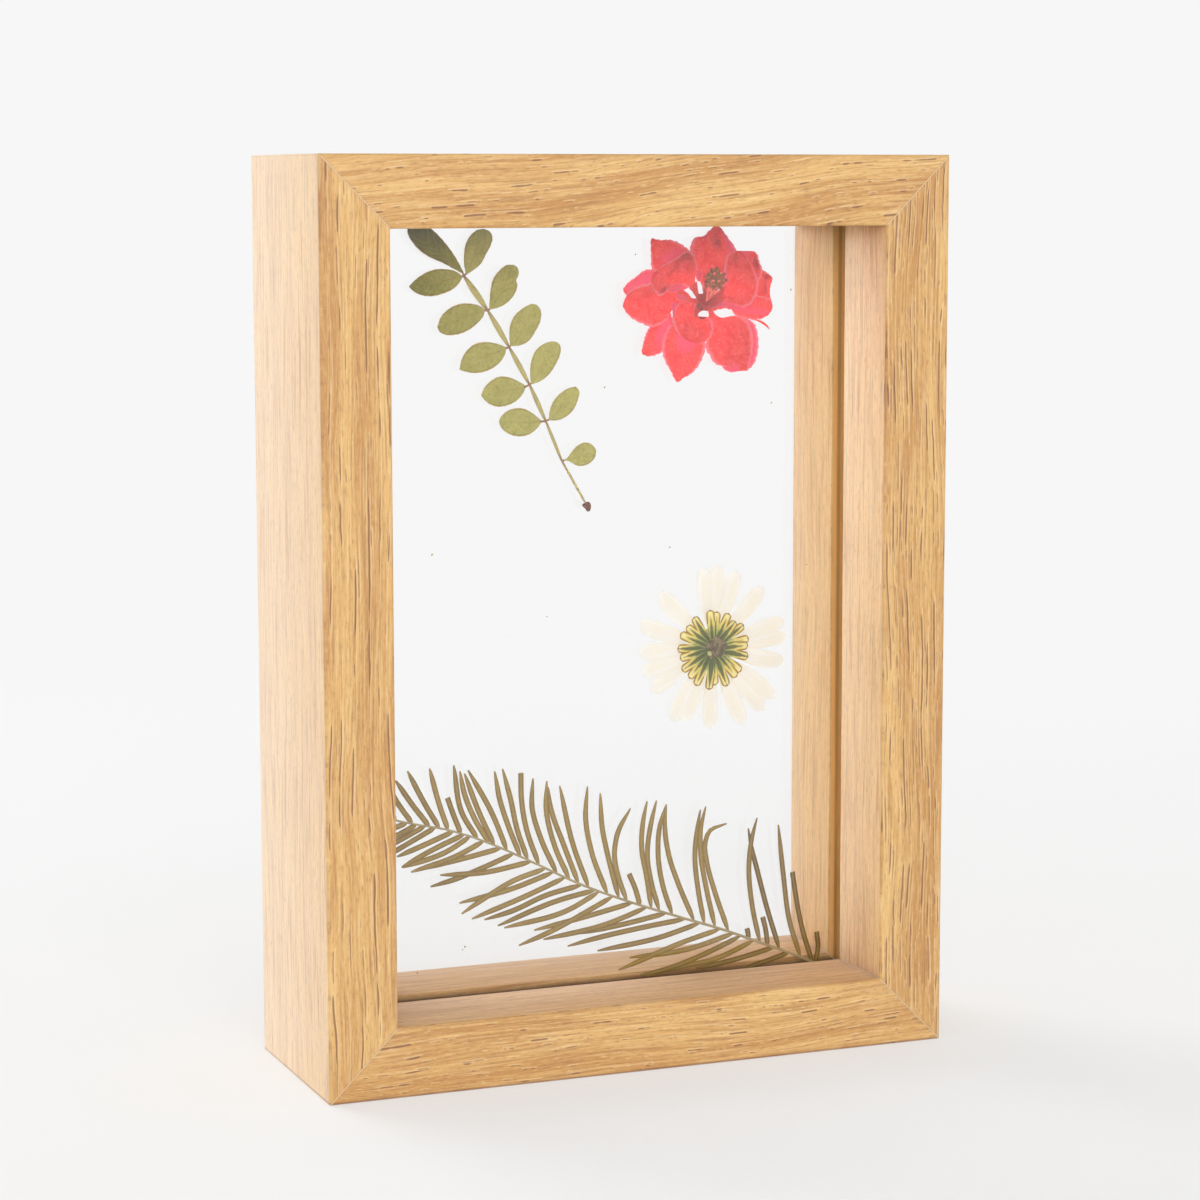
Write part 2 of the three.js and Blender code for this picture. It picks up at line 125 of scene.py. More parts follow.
def ring_faces(rings, start):
    """Quads between neighbouring rings, then the two end faces. Six times the volume inside is the sum of
    a . (b x c) over all their triangles. Where that is less than 0, every face is reversed."""
    count, around = rings.shape[:2]
    index = np.arange(count * around).reshape(count, around)
    beside = np.roll(index, -1, axis=1)
    quads = np.stack([index[:-1], beside[:-1], beside[1:], index[1:]], axis=-1).reshape(-1, 4)
    flat = rings.reshape(-1, 3) - rings.reshape(-1, 3).mean(axis=0)
    a, b, c, d = (flat[quads[:, k]] for k in range(4))
    sides = np.einsum("ij,ij->i", a, np.cross(b, c)) + np.einsum("ij,ij->i", a, np.cross(c, d))
    ends = 0
    for ring, sense in ((flat[index[0]], -1), (flat[index[-1]], 1)):
        fan = np.cross(ring[1:-1], ring[2:])
        ends += sense * np.einsum("j,ij->", ring[0], fan)
    faces = (quads + start).tolist() + [(index[0][::-1] + start).tolist(), (index[-1] + start).tolist()]
    inside_out = sides.sum() + ends < 0
    return [face[::-1] for face in faces] if inside_out else faces


def ring_mesh(name, stacks, material, maps=None, values=None, sharp_angle=40):
    """One mesh from a list of ring stacks in mm. maps gives each point its two surface coordinates, and
    values gives each point its tone."""
    faces = []
    start = 0
    for rings in stacks:
        faces += ring_faces(rings, start)
        start += rings.shape[0] * rings.shape[1]
    points = np.concatenate([rings.reshape(-1, 3) for rings in stacks]) * MM
    mesh = bpy.data.meshes.new(name)
    mesh.from_pydata(points.tolist(), [], faces)
    mesh.materials.append(material)
    if maps is not None:
        corner = np.empty(len(mesh.loops), dtype=np.int32)
        mesh.loops.foreach_get("vertex_index", corner)
        layer = mesh.uv_layers.new(name="surface")
        both = np.concatenate([m.reshape(-1, 2) for m in maps])
        layer.data.foreach_set("uv", both[corner].astype(np.float32).ravel())
    if values is not None:
        tone = mesh.attributes.new("tone", "FLOAT", "POINT")
        tone.data.foreach_set("value", np.concatenate([v.ravel() for v in values]).astype(np.float32))
    mesh.polygons.foreach_set("use_smooth", np.ones(len(mesh.polygons), dtype=bool))
    mesh.set_sharp_from_angle(angle=math.radians(sharp_angle))
    mesh.update()
    piece = bpy.data.objects.new(name, mesh)
    scene.collection.objects.link(piece)
    return piece


def stand_for(piece, node):
    """The piece rides with the frame and takes the place of one measured node, which is hidden."""
    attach(piece, "root")
    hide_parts(node)


unit_square = np.array([(0, 0, 0), (1, 0, 0), (1, 1, 0), (0, 1, 0)], dtype=float)
unit_box = np.stack([unit_square, unit_square + (0, 0, 1)])
print("two square rings make a box of", len(ring_faces(unit_box, 0)), "faces")

# %% [markdown]
# The plants have few straight lines. Their edges and middle lines are drawn through a handful of points,
# and one helper runs a smooth curve through them. A cubic span between each pair of points is enough: it
# passes through every point, and it has no corner where two spans meet.

# %% The curve helper


def smooth_line(points, count):
    """A curve through the points, cut into even steps. Each span is the cubic that starts and ends at its
    two points, with slopes taken from the points on either side."""
    p = np.asarray(points, dtype=float)
    reach = np.concatenate([[0], np.cumsum(np.linalg.norm(np.diff(p, axis=0), axis=1))])
    slope = np.gradient(p, reach, axis=0)
    at = np.linspace(0, reach[-1], count)
    span = np.clip(np.searchsorted(reach, at, side="right") - 1, 0, len(p) - 2)
    width = (reach[span + 1] - reach[span])[:, None]
    s = (at - reach[span])[:, None] / width
    start_part = (2 * s**3 - 3 * s**2 + 1) * p[span] + (s**3 - 2 * s**2 + s) * width * slope[span]
    end_part = (3 * s**2 - 2 * s**3) * p[span + 1] + (s**3 - s**2) * width * slope[span + 1]
    return start_part + end_part


print("half way along a hump:", smooth_line([(0, 0), (1, 1), (2, 0)], 3)[1].tolist())

# %% [markdown]
# ## Node helpers
# A finish is a small tree of shader nodes. Three short helpers keep the trees readable: one adds a node and
# sets its values, one does arithmetic, one mixes two colours. Screen colours are turned to linear light
# once, in Python, so each finish can be written with the colour a person would pick.

# %% Shader helpers


def linear(red, green, blue):
    """Linear light from a screen colour. Each channel, from 0 to 1, gets 0.055 added, is divided by 1.055
    and raised to the power 2.4; the very darkest are only divided by 12.92."""
    screen = np.array([red, green, blue]) / 255
    light = np.where(screen <= 0.04045, screen / 12.92, ((screen + 0.055) / 1.055) ** 2.4)
    return (*[float(c) for c in light], 1.0)


class Finish:
    """A new material and the tools to fill its node tree."""

    def __init__(self, name):
        """Starts with nothing in the tree but its output."""
        self.material = bpy.data.materials.new(name)
        self.material.use_nodes = True
        self.tree = self.material.node_tree
        self.tree.nodes.clear()
        self.output = self.node("ShaderNodeOutputMaterial")

    def node(self, kind, settings=None, **inputs):
        """Adds a node, sets its properties, then sets or links each named input."""
        made = self.tree.nodes.new(kind)
        for key, value in (settings or {}).items():
            setattr(made, key, value)
        for key, value in inputs.items():
            self.feed(made.inputs[key.replace("_", " ")], value)
        return made

    def feed(self, socket, value):
        """Links the socket to another node's output, or sets it to a plain value."""
        if isinstance(value, bpy.types.NodeSocket):
            self.tree.links.new(value, socket)
        else:
            socket.default_value = value

    def maths(self, operation, *values):
        """One sum on numbers, named as Blender names it."""
        made = self.node("ShaderNodeMath", {"operation": operation})
        for socket, value in zip(made.inputs, values):
            self.feed(socket, value)
        return made.outputs[0]

    def mix(self, factor, first, second):
        """The first colour where the factor is 0, the second where it is 1, and between them in between."""
        made = self.node("ShaderNodeMix", {"data_type": "RGBA"})
        self.feed(made.inputs[0], factor)
        self.feed(made.inputs[6], first)
        self.feed(made.inputs[7], second)
        return made.outputs[2]

    def ramp(self, factor, low, high, to_low=0.0, to_high=1.0):
        """Goes from to_low, where the factor is low, to to_high, where it is high, along a smooth step."""
        made = self.node("ShaderNodeMapRange", {"interpolation_type": "SMOOTHSTEP"})
        for socket, value in zip(made.inputs[:5], (factor, low, high, to_low, to_high)):
            self.feed(socket, value)
        return made.outputs[0]

    def place(self, scale=(1, 1, 1), shift=(0, 0, 0)):
        """The point on the object, in the object's own space, stretched and shifted for a pattern."""
        coordinates = self.node("ShaderNodeTexCoord").outputs["Object"]
        return self.node("ShaderNodeMapping", Vector=coordinates, Scale=scale, Location=shift).outputs[0]

    def stretch(self, vector, first, second):
        """Scales the first two parts of a place, each by its own amount."""
        made = self.node("ShaderNodeVectorMath", {"operation": "MULTIPLY"})
        self.feed(made.inputs[0], vector)
        self.feed(made.inputs[1], (first, second, 1.0))
        return made.outputs[0]

    def noise(self, vector, scale, detail=3.0, roughness=0.5):
        """Soft lumps round 0.5, as many to a unit of length as the scale says."""
        made = self.node("ShaderNodeTexNoise", Vector=vector, Scale=scale, Detail=detail,
                         Roughness=roughness)
        return made.outputs[0]

    def tone(self):
        """The value that the mesh gives each point."""
        return self.node("ShaderNodeAttribute", {"attribute_name": "tone"}).outputs["Fac"]

    def from_middle(self, across):
        """How far a point is from the middle of a surface that is 0 to 1 across."""
        return self.maths("ABSOLUTE", self.maths("SUBTRACT", across, 0.5))

    def bump(self, height, strength, distance):
        """A shallow relief: a height of 1 stands this distance, in metres, above a height of 0."""
        return self.node("ShaderNodeBump", Strength=strength, Distance=distance, Height=height).outputs[0]

    def finish(self, shader):
        """Joins the shader to the output and hands back the material."""
        self.tree.links.new(shader, self.output.inputs["Surface"])
        return self.material


print("a middle grey on screen is", round(linear(128, 128, 128)[0], 3), "in linear light")

# %% [markdown]
# ## Oak
# The frame is light oak under a thin satin oil. Four things make it read as oak: broad honey and straw
# bands that run with the grain, fine threads in them, the dark open pores, and a pale lip beside each pore.
# All of it is worked out from a point's place on its board, so the figure runs on round every edge without
# a seam. The rails run sideways and the stiles upwards, and one function finds the place for both, given
# which way the board lies. The sizes of the frame are read off the measured model.

# %% Sizes of the frame, and a point's place on its board
FRAME_HALF_WIDTH = round(cad_box[1][0] / MM, 2)
FRAME_HEIGHT = round(cad_box[1][2] / MM, 2)
HALF_DEPTH = round(cad_box[1][1] / MM, 2)
FACE_WIDTH = round(FRAME_HALF_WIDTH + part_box("left_stile")[1][0] / MM, 2)
GRAIN_BEND = 5.0


def oak_axes(oak):
    """A point's x, y and z in mm."""
    axes = oak.node("ShaderNodeSeparateXYZ", Vector=oak.place((1 / MM, 1 / MM, 1 / MM)))
    return axes.outputs[0], axes.outputs[1], axes.outputs[2]


def outer_gaps(oak, x, z):
    """How far a point is from the frame's outer side, and from its top or foot, in mm."""
    half_height = FRAME_HEIGHT / 2
    side_gap = oak.maths("SUBTRACT", FRAME_HALF_WIDTH, oak.maths("ABSOLUTE", x))
    from_centre = oak.maths("ABSOLUTE", oak.maths("SUBTRACT", z, half_height))
    end_gap = oak.maths("SUBTRACT", half_height, from_centre)
    return side_gap, end_gap


def grain_place(oak, x, y, z, upright, shift, slope):
    """A point's place on the board in mm: first across the grain, as the sum of the two directions
    across, then along it. A slow noise bends the grain by up to GRAIN_BEND, and slope tilts it."""
    across, along = (oak.maths("ADD", x, y), z) if upright else (oak.maths("ADD", z, y), x)
    plain = oak.node("ShaderNodeCombineXYZ", X=oak.maths("ADD", across, shift[0]),
                     Y=oak.maths("ADD", along, shift[1])).outputs[0]
    slow = oak.noise(oak.stretch(plain, 0.06, 0.018), 1.0, detail=1)
    bend = oak.maths("MULTIPLY", slow, GRAIN_BEND)
    bent = oak.node("ShaderNodeCombineXYZ", X=oak.maths("MULTIPLY_ADD", along, slope, bend))
    board = oak.node("ShaderNodeVectorMath", {"operation": "ADD"})
    oak.feed(board.inputs[0], plain)
    oak.feed(board.inputs[1], bent.outputs[0])
    return board.outputs[0]


frame_size = (2 * FRAME_HALF_WIDTH, 2 * HALF_DEPTH, FRAME_HEIGHT)
print("frame:", frame_size, "mm, with a face of", FACE_WIDTH, "mm")

# %% [markdown]
# The pores are short dark dashes that follow the growth rings, so they stand in rows. Plain noise can't
# make such rows. Here the board is divided into rows across the grain. Each row has its own noise along the
# grain, and a dash is drawn where that noise is high, wide where it is highest. That gives pointed dashes
# of uneven length, with uneven gaps. Each row also wanders a little, or the pores would look ruled.

# %% Rows of pores
PORE_WANDER = 0.6
ROW_STEP = 3.77
LIP_GAP = 0.16


def pore_rows(oak, board, spacing, length, level, half_width, seed):
    """Dashes in rows, this far apart and about this long, all in mm. A dash swells where the row's noise
    is over the level. Returns the dark dash and the pale lip beside it, both 0 to 1."""
    axes = oak.node("ShaderNodeSeparateXYZ", Vector=board)
    place = oak.maths("DIVIDE", axes.outputs[0], spacing)
    row = oak.maths("FLOOR", place)
    chance = oak.node("ShaderNodeTexWhiteNoise", {"noise_dimensions": "1D"}, W=oak.maths("ADD", row, seed))
    own_lane = oak.maths("MULTIPLY_ADD", row, ROW_STEP, seed)
    lane = oak.node("ShaderNodeCombineXYZ", X=own_lane, Y=axes.outputs[1])
    drift = oak.noise(oak.stretch(lane.outputs[0], 1, 0.11), 1.0, detail=2)
    wander = oak.maths("MULTIPLY", drift, PORE_WANDER)
    aside = oak.maths("MULTIPLY_ADD", chance.outputs[0], 0.45 * spacing, wander)
    from_row = oak.maths("MULTIPLY", oak.maths("SUBTRACT", place, row), spacing)
    beside = oak.maths("SUBTRACT", oak.maths("SUBTRACT", from_row, aside), 0.28 * spacing - PORE_WANDER / 2)
    height = oak.noise(oak.stretch(lane.outputs[0], 1, 1 / length), 1.0, detail=2, roughness=0.6)
    swell = oak.ramp(height, level, level + 0.07)
    edge = oak.maths("MULTIPLY_ADD", swell, -half_width, oak.maths("ABSOLUTE", beside))
    dash = oak.maths("MULTIPLY", oak.ramp(edge, 0.0, 0.1, 1.0, 0.0), oak.ramp(swell, 0.0, 0.3))
    lip_edge = oak.maths("ABSOLUTE", oak.maths("SUBTRACT", beside, half_width + LIP_GAP))
    near_dash = oak.ramp(height, level - 0.06, level)
    lip = oak.maths("MULTIPLY", oak.ramp(lip_edge, 0.04, 0.2, 1.0, 0.0), near_dash)
    return dash, lip


print("rows of pores wander by up to", PORE_WANDER / 2, "mm to either side")

# %% [markdown]
# The wood's colour is built up as the tree built it: two broad tones, then finer and finer figure, then the
# pores on top. The pores are cut open on the front and the back only, so they fade on the sides. The sides
# and inner walls also lean to a tone of their own, which is painted light and shade: paler on the stiles
# for the light and glare from the left, darker on the bottom rail for the shade on the floor of the
# opening.

# %% The grain's colours
OAK_HONEY = linear(187, 132, 65)
OAK_MIDDLE = linear(204, 154, 86)
OAK_STRAW = linear(225, 181, 111)
OAK_PALE = linear(238, 206, 152)
OAK_FIBRE = linear(148, 96, 50)
OAK_PORE = linear(118, 68, 34)
STRONG_PORE = 0.12
FAINT_PORE = 0.07


def grain_colour(oak, board, face, painted_side_light_and_shade):
    """A slow noise picks honey or straw, and the sides lean to their own tone, which is painted light and
    shade. Streaks, fibres and threads, each a finer noise, lighten the wood where they are high and darken
    it where they are low."""
    bands = oak.noise(oak.stretch(board, 0.17, 0.009), 1.0, detail=2)
    streaks = oak.noise(oak.stretch(board, 0.8, 0.035), 1.0, detail=3, roughness=0.6)
    fibres = oak.noise(oak.stretch(board, 2.9, 0.45), 1.0, detail=4, roughness=0.7)
    threads = oak.noise(oak.stretch(board, 2.6, 0.06), 1.0, detail=2)
    colour = oak.mix(oak.ramp(bands, 0.34, 0.66), OAK_HONEY, OAK_STRAW)
    colour = oak.mix(0.28, colour, OAK_MIDDLE)
    # Painted light and shade: the sides and inner walls lean to the board's own side tone.
    colour = oak.mix(oak.ramp(face, 0.2, 1.0, 0.7, 0.0), colour, painted_side_light_and_shade)
    for figure, start, full, share, tone in (
        (streaks, 0.48, 0.72, 0.65, OAK_STRAW),
        (streaks, 0.5, 0.28, 0.75, OAK_HONEY),
        (fibres, 0.54, 0.72, 0.45, OAK_PALE),
        (fibres, 0.5, 0.28, 0.62, OAK_FIBRE),
        (threads, 0.5, 0.3, 0.45, OAK_FIBRE),
        (threads, 0.54, 0.7, 0.35, OAK_PALE),
    ):
        colour = oak.mix(oak.ramp(figure, start, full, 0.0, share), colour, tone)
    return colour, streaks, fibres


def add_pores(oak, colour, board, face, rows):
    """Strong pores, and fainter, shorter ones in closer rows. The pale lips go on first, then the dark
    dashes."""
    spacing, length, level = rows
    dash, lip = pore_rows(oak, board, spacing, length, level, STRONG_PORE, 11.3)
    fine_rows = (spacing * 0.62, length * 0.6, level + 0.04)
    fine_dash, fine_lip = pore_rows(oak, board, *fine_rows, FAINT_PORE, 47.9)
    lips = oak.maths("MULTIPLY", oak.maths("MAXIMUM", lip, fine_lip), face)
    colour = oak.mix(oak.maths("MULTIPLY", lips, 0.4), colour, OAK_PALE)
    both = oak.maths("MAXIMUM", dash, oak.maths("MULTIPLY", fine_dash, 0.7))
    pores = oak.maths("MULTIPLY", both, face)
    colour = oak.mix(oak.maths("MULTIPLY", pores, 0.75), colour, OAK_PORE)
    return colour, pores


print("pores are", 2 * STRONG_PORE, "and", 2 * FAINT_PORE, "mm wide")

# %% [markdown]
# The groove, the foot and the corners come last. Inside the groove for the glass, light and shade are
# painted: its walls are warmer on the stiles, for the light that bounces from wood to wood, and darker on
# the rails, for the shade in the slot, and a painted shadow line marks where the pane's edge meets the
# wood. The foot's edge is painted dark with the shadow where it meets the floor. At each corner a thin pale
# line of filler shows between the two boards. Each of these is drawn by a distance: in from the frame's
# outer side, up from the foot, or from the line where that side and the end are equally far, which is the
# mitre.

# %% The whole oak finish
GROOVE_BOUNCE_TAN = linear(255, 180, 84)
GROOVE_SHADE_BROWN = linear(78, 34, 8)
MITRE_FILLER = linear(226, 196, 150)
OAK_GLOSS = 0.9
GROOVE_HALF = 3.9
PANE_SHADOW_PLACE = 12.1


def add_groove_shade(oak, colour, y, inward, groove):
    """Paints light and shade on the walls of the groove. groove says where the painted tone starts and
    where it is full, in mm in from the outer side, its greatest share and its tone. The painted shadow
    line of the pane is half a millimetre to each side of its place."""
    shade_start, shade_full, share, tone = groove
    within = oak.ramp(oak.maths("ABSOLUTE", y), GROOVE_HALF + 0.05, GROOVE_HALF + 0.25, 1.0, 0.0)
    wall = oak.maths("MULTIPLY", within, oak.ramp(inward, 6.0, 8.0))
    depth = oak.ramp(inward, shade_start, shade_full, 0.0, share)
    # Painted light and shade in the groove: warm bounced light on the stiles, shade on the rails.
    colour = oak.mix(oak.maths("MULTIPLY", wall, depth), colour, tone)
    from_pane = oak.maths("ABSOLUTE", oak.maths("SUBTRACT", inward, PANE_SHADOW_PLACE))
    # Painted shadow line where the pane's edge meets the wood.
    pane_shadow_line = oak.maths("MULTIPLY", wall, oak.ramp(from_pane, 0.2, 0.55, 0.5, 0.0))
    return oak.mix(pane_shadow_line, colour, GROOVE_SHADE_BROWN)


def add_foot_shadow_and_joints(oak, colour, z, side_gap, end_gap):
    """A painted shadow along the foot, where it meets the floor. Along the mitre, a faint dark line 0.5 mm
    to each side and the filler inside it."""
    # Painted shadow: the foot's edge darkens where it meets the floor.
    colour = oak.mix(oak.ramp(z, 0.25, 0.8, 0.6, 0.0), colour, OAK_PORE)
    from_mitre = oak.maths("ABSOLUTE", oak.maths("SUBTRACT", side_gap, end_gap))
    colour = oak.mix(oak.ramp(from_mitre, 0.2, 0.5, 0.3, 0.0), colour, OAK_FIBRE)
    return oak.mix(oak.ramp(from_mitre, 0.06, 0.26, 0.85, 0.0), colour, MITRE_FILLER)


def oak_finish(name, upright, shift, slope, rows, painted_side_light_and_shade, groove, sheen):
    """Oak with its grain along Z if upright, else along X. shift (mm) picks the board's part of the log,
    and rows is the spacing, the length and the level of its main pores."""
    oak = Finish(name)
    x, y, z = oak_axes(oak)
    side_gap, end_gap = outer_gaps(oak, x, z)
    board = grain_place(oak, x, y, z, upright, shift, slope)
    face = oak.ramp(oak.maths("ABSOLUTE", y), HALF_DEPTH - 1.1, HALF_DEPTH - 0.2, 0.2, 1.0)
    colour, streaks, fibres = grain_colour(oak, board, face, painted_side_light_and_shade)
    colour, pores = add_pores(oak, colour, board, face, rows)
    colour = add_groove_shade(oak, colour, y, oak.maths("MINIMUM", side_gap, end_gap), groove)
    colour = add_foot_shadow_and_joints(oak, colour, z, side_gap, end_gap)
    relief = oak.maths("SUBTRACT", oak.maths("MULTIPLY", fibres, 0.5), pores)
    shader = oak.node("ShaderNodeBsdfPrincipled", Base_Color=colour, Normal=oak.bump(relief, 0.4, 0.0001),
                      Roughness=oak.ramp(streaks, 0.2, 0.8, 0.62, 0.54), Specular_IOR_Level=OAK_GLOSS,
                      Sheen_Weight=sheen, Sheen_Roughness=0.4)
    return oak.finish(shader.outputs[0])


print("the pane's line lies", PANE_SHADOW_PLACE, "mm in from the frame's outer side")

# %% [markdown]
# Each board gets its own part of the log, its own tilt of the grain and its own spacing of pores, because
# four boards with one figure would look printed. Its side tone is painted light on the stiles and painted
# shade on the bottom rail. The sheen is the pale bloom of dry oil, strongest on the stiles.

# %% One finish for each board
# The groove's painted light and shade: bounced light on the stiles, shade on the rails.
STILE_GROOVE_SHADE = (13.75, 13.0, 0.85, GROOVE_BOUNCE_TAN)
RAIL_GROOVE_SHADE = (13.6, 12.0, 0.9, GROOVE_SHADE_BROWN)
BOARD_FINISHES = {
    "left_stile": oak_finish("oak_left_stile", True, (31, 20), 0.0, (2.6, 24.0, 0.53),
                             linear(228, 196, 153), STILE_GROOVE_SHADE, 0.55),
    "right_stile": oak_finish("oak_right_stile", True, (290, 110), 0.01, (1.5, 17.0, 0.52),
                              linear(234, 193, 132), STILE_GROOVE_SHADE, 0.5),
    "top_rail": oak_finish("oak_top_rail", False, (133, 370), -0.11, (2.2, 7.0, 0.57),
                           OAK_MIDDLE, RAIL_GROOVE_SHADE, 0.2),
    "bottom_rail": oak_finish("oak_bottom_rail", False, (413, 60), -0.02, (2.4, 7.0, 0.56),
                              linear(198, 146, 82), RAIL_GROOVE_SHADE, 0.2),
}
print("oak boards:", sorted(BOARD_FINISHES))

# %% [markdown]
# ## The mouldings
# All four sides are cut from one moulding: a thick rectangle with a narrow groove ploughed in its inner
# face for the glass. The edges are only just eased by sandpaper. The section is swept along the board and
# each of its points stops short of the end by its own distance from the outer face. That is what a mitre
# saw does, and it makes the four ends meet at 45 degrees with no cutting in Blender.

# %% Make the four mouldings
GROOVE_DEPTH = 4.0
EASING = 0.6
GROOVE_EASING = 0.12
ARC_POINTS = 6
MITRE_SEAM = 0.02
MOULDING_RINGS = 40


def corner_arc(x, y, radius, from_degrees):
    """A quarter circle round (x, y), from the given angle on anticlockwise."""
    angle = np.radians(np.linspace(from_degrees, from_degrees + 90, ARC_POINTS))
    return np.stack([x + radius * np.cos(angle), y + radius * np.sin(angle)], axis=1)


def moulding_section():
    """Section points (in from the outer face, through the depth), anticlockwise, with each corner an
    arc."""
    near, far = EASING, FACE_WIDTH - EASING
    front, back = EASING - HALF_DEPTH, HALF_DEPTH - EASING
    lip = GROOVE_EASING
    floor = FACE_WIDTH - GROOVE_DEPTH
    return np.concatenate([
        corner_arc(near, front, EASING, 180),
        corner_arc(far, front, EASING, 270),
        corner_arc(FACE_WIDTH - lip, -GROOVE_HALF - lip, lip, 0),
        [[floor, -GROOVE_HALF], [floor, GROOVE_HALF]],
        corner_arc(FACE_WIDTH - lip, GROOVE_HALF + lip, lip, 270),
        corner_arc(far, back, EASING, 0),
        corner_arc(near, back, EASING, 90),
    ])


def moulding_rings(length):
    """Rings of (in, through, along): each section point reaches to half the length less its distance in."""
    section = moulding_section()
    reach = length / 2 - section[:, 0] - MITRE_SEAM
    along = np.linspace(-1, 1, MOULDING_RINGS)[:, None] * reach[None, :]
    inward = np.broadcast_to(section[:, 0], along.shape)
    through = np.broadcast_to(section[:, 1], along.shape)
    return inward, through, along


def make_mouldings():
    """Turns the swept board onto each side of the frame. i is in from the outer face, t is through the
    depth and a is along the board, and each side says which way they point."""
    middle = FRAME_HEIGHT / 2
    boards = {
        "left_stile": (FRAME_HEIGHT, lambda i, t, a: (i - FRAME_HALF_WIDTH, t, middle + a)),
        "right_stile": (FRAME_HEIGHT, lambda i, t, a: (FRAME_HALF_WIDTH - i, t, middle - a)),
        "top_rail": (2 * FRAME_HALF_WIDTH, lambda i, t, a: (a, t, FRAME_HEIGHT - i)),
        "bottom_rail": (2 * FRAME_HALF_WIDTH, lambda i, t, a: (-a, t, i)),
    }
    for node, (length, placed) in boards.items():
        rings = np.stack(placed(*moulding_rings(length)), axis=-1)
        piece = ring_mesh(f"oak_{node}", [rings], BOARD_FINISHES[node], sharp_angle=50)
        stand_for(piece, node)
        print(node, "is", length, "mm long and", len(piece.data.polygons), "faces")


make_mouldings()

# %% [markdown]
# ## The panes
# Both panes are plain clear glass, 3 mm thick. Their edges are ground, but here they wear the same clear
# glass as their faces. The measured solids already have the right shape, so they stay and only get a glass
# finish. The index of refraction matters here: it is what shifts the plants a little towards the eye.

# %% Glass for both panes
GLASS_TINT = (0.998, 0.998, 0.997, 1.0)
GLASS_INDEX = 1.5


def glass_finish():
    """Clear glass: full transmission, no roughness."""
    glass = Finish("clear_glass")
    shader = glass.node("ShaderNodeBsdfPrincipled", Base_Color=GLASS_TINT, Roughness=0.0, IOR=GLASS_INDEX,
                        Transmission_Weight=1.0)
    return glass.finish(shader.outputs[0])


pane_glass = glass_finish()
for pane in ("front_pane", "back_pane"):
    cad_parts[pane].data.materials.clear()
    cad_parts[pane].data.materials.append(pane_glass)

# %% [markdown]
# ## Pressed sheets
# A pressed leaf or petal is a sheet a tenth of a millimetre thick. Each is drawn as two edges that start at
# its foot and meet at its tip, and the surface between them is filled in straight lines from edge to edge.
# So the first surface coordinate runs across the leaf, the second runs from foot to tip, and veins can
# follow them.

# %% A sheet between two edges


def sheet_rings(left, right, depth, thickness, rings=30, across=13, ripple=0.0, seed=0.0, ragged=0.0):
    """Rings of a flat sheet: front points from left to right, then back points the other way. The
    thickness fades to nothing at both edges as 1 - s^6, s being -1 to 1 across the sheet, and to a
    quarter at both ends. The ripple is the product of two sines, one along and one across. A ragged rim
    is drawn in by the sum of two quicker sines."""
    left_line = smooth_line(left, rings)[:, None, :]
    right_line = smooth_line(right, rings)[:, None, :]
    v = np.linspace(0, 1, across)[None, :, None]
    u = np.linspace(0, 1, rings)[:, None]
    inward = right_line - left_line
    inward = inward / np.maximum(np.linalg.norm(inward, axis=2, keepdims=True), 1.0)
    bite = ragged * (np.sin(61 * u + 3 * seed) + 0.8 * np.sin(103 * u + seed))[:, None]
    left_line = left_line + inward * bite
    right_line = right_line + inward * np.roll(bite, 5, axis=0)
    flat = left_line * (1 - v) + right_line * v
    s = 2 * v[..., 0] - 1
    half = thickness / 2 * (1 - s**6) * (0.25 + 0.75 * np.sin(math.pi * u) ** 0.4)
    wave = ripple * np.sin(7 * u + seed) * np.sin(9 * v[..., 0] + 2 * seed)
    middle = depth + wave * (1 - s**4)
    front = np.stack([flat[..., 0], middle - half, flat[..., 1]], axis=-1)
    back = np.stack([flat[..., 0], middle + half, flat[..., 1]], axis=-1)
    points = np.concatenate([front, back[:, -2:0:-1]], axis=1)
    across_map = np.broadcast_to(v[..., 0], (rings, across))
    along_map = np.broadcast_to(u, (rings, across))
    map_front = np.stack([across_map, along_map], axis=-1)
    maps = np.concatenate([map_front, map_front[:, -2:0:-1]], axis=1)
    return points, maps


strip, _ = sheet_rings([(0, 0), (0, 9)], [(2, 0), (2, 9)], 0.0, 0.1)
print("a plain sheet is", strip.shape[0], "rings of", strip.shape[1], "points")

# %% [markdown]
# ## The leaf sprig
# Twelve olive-green leaflets leave one stem. The stem is winged: between two nodes it swells like a lens
# and at each node it pinches in, where a pair of leaflets starts. The leaflets are drawn by their own
# edges, because no two are alike and one has a bite out of its rim.

# %% Leaf and stem finishes
LEAF_OLIVE = linear(194, 187, 106)
LEAF_MOSS = linear(152, 146, 44)
LEAF_DARK = linear(88, 80, 8)
LEAF_VEIN = linear(208, 202, 138)
LEAF_RED = linear(168, 116, 78)
LEAF_RIM = linear(212, 180, 120)
STEM_TAN = linear(184, 168, 108)
STEM_RED = linear(150, 98, 76)
SCAR_BROWN = linear(112, 70, 58)
SHEET_GLOSS = 0.15
RIBS = 52.0
RIB_WOBBLE = 7.0


def see_through(finish, colour, normal, share, roughness=0.6):
    """A thin dry sheet: part of the light is scattered back, and the given share is scattered through."""
    face = finish.node("ShaderNodeBsdfPrincipled", Base_Color=colour, Roughness=roughness, Normal=normal,
                       Specular_IOR_Level=SHEET_GLOSS)
    through = finish.node("ShaderNodeBsdfTranslucent", Color=colour, Normal=normal)
    both = finish.node("ShaderNodeMixShader", Fac=share)
    finish.tree.links.new(face.outputs[0], both.inputs[1])
    finish.tree.links.new(through.outputs[0], both.inputs[2])
    return both.outputs[0]


def surface_axes(finish):
    """The sheet's own coordinates: across from 0 to 1, and from foot to tip."""
    uv = finish.node("ShaderNodeUVMap", {"uv_map": "surface"}).outputs[0]
    axes = finish.node("ShaderNodeSeparateXYZ", Vector=uv)
    return axes.outputs[0], axes.outputs[1]


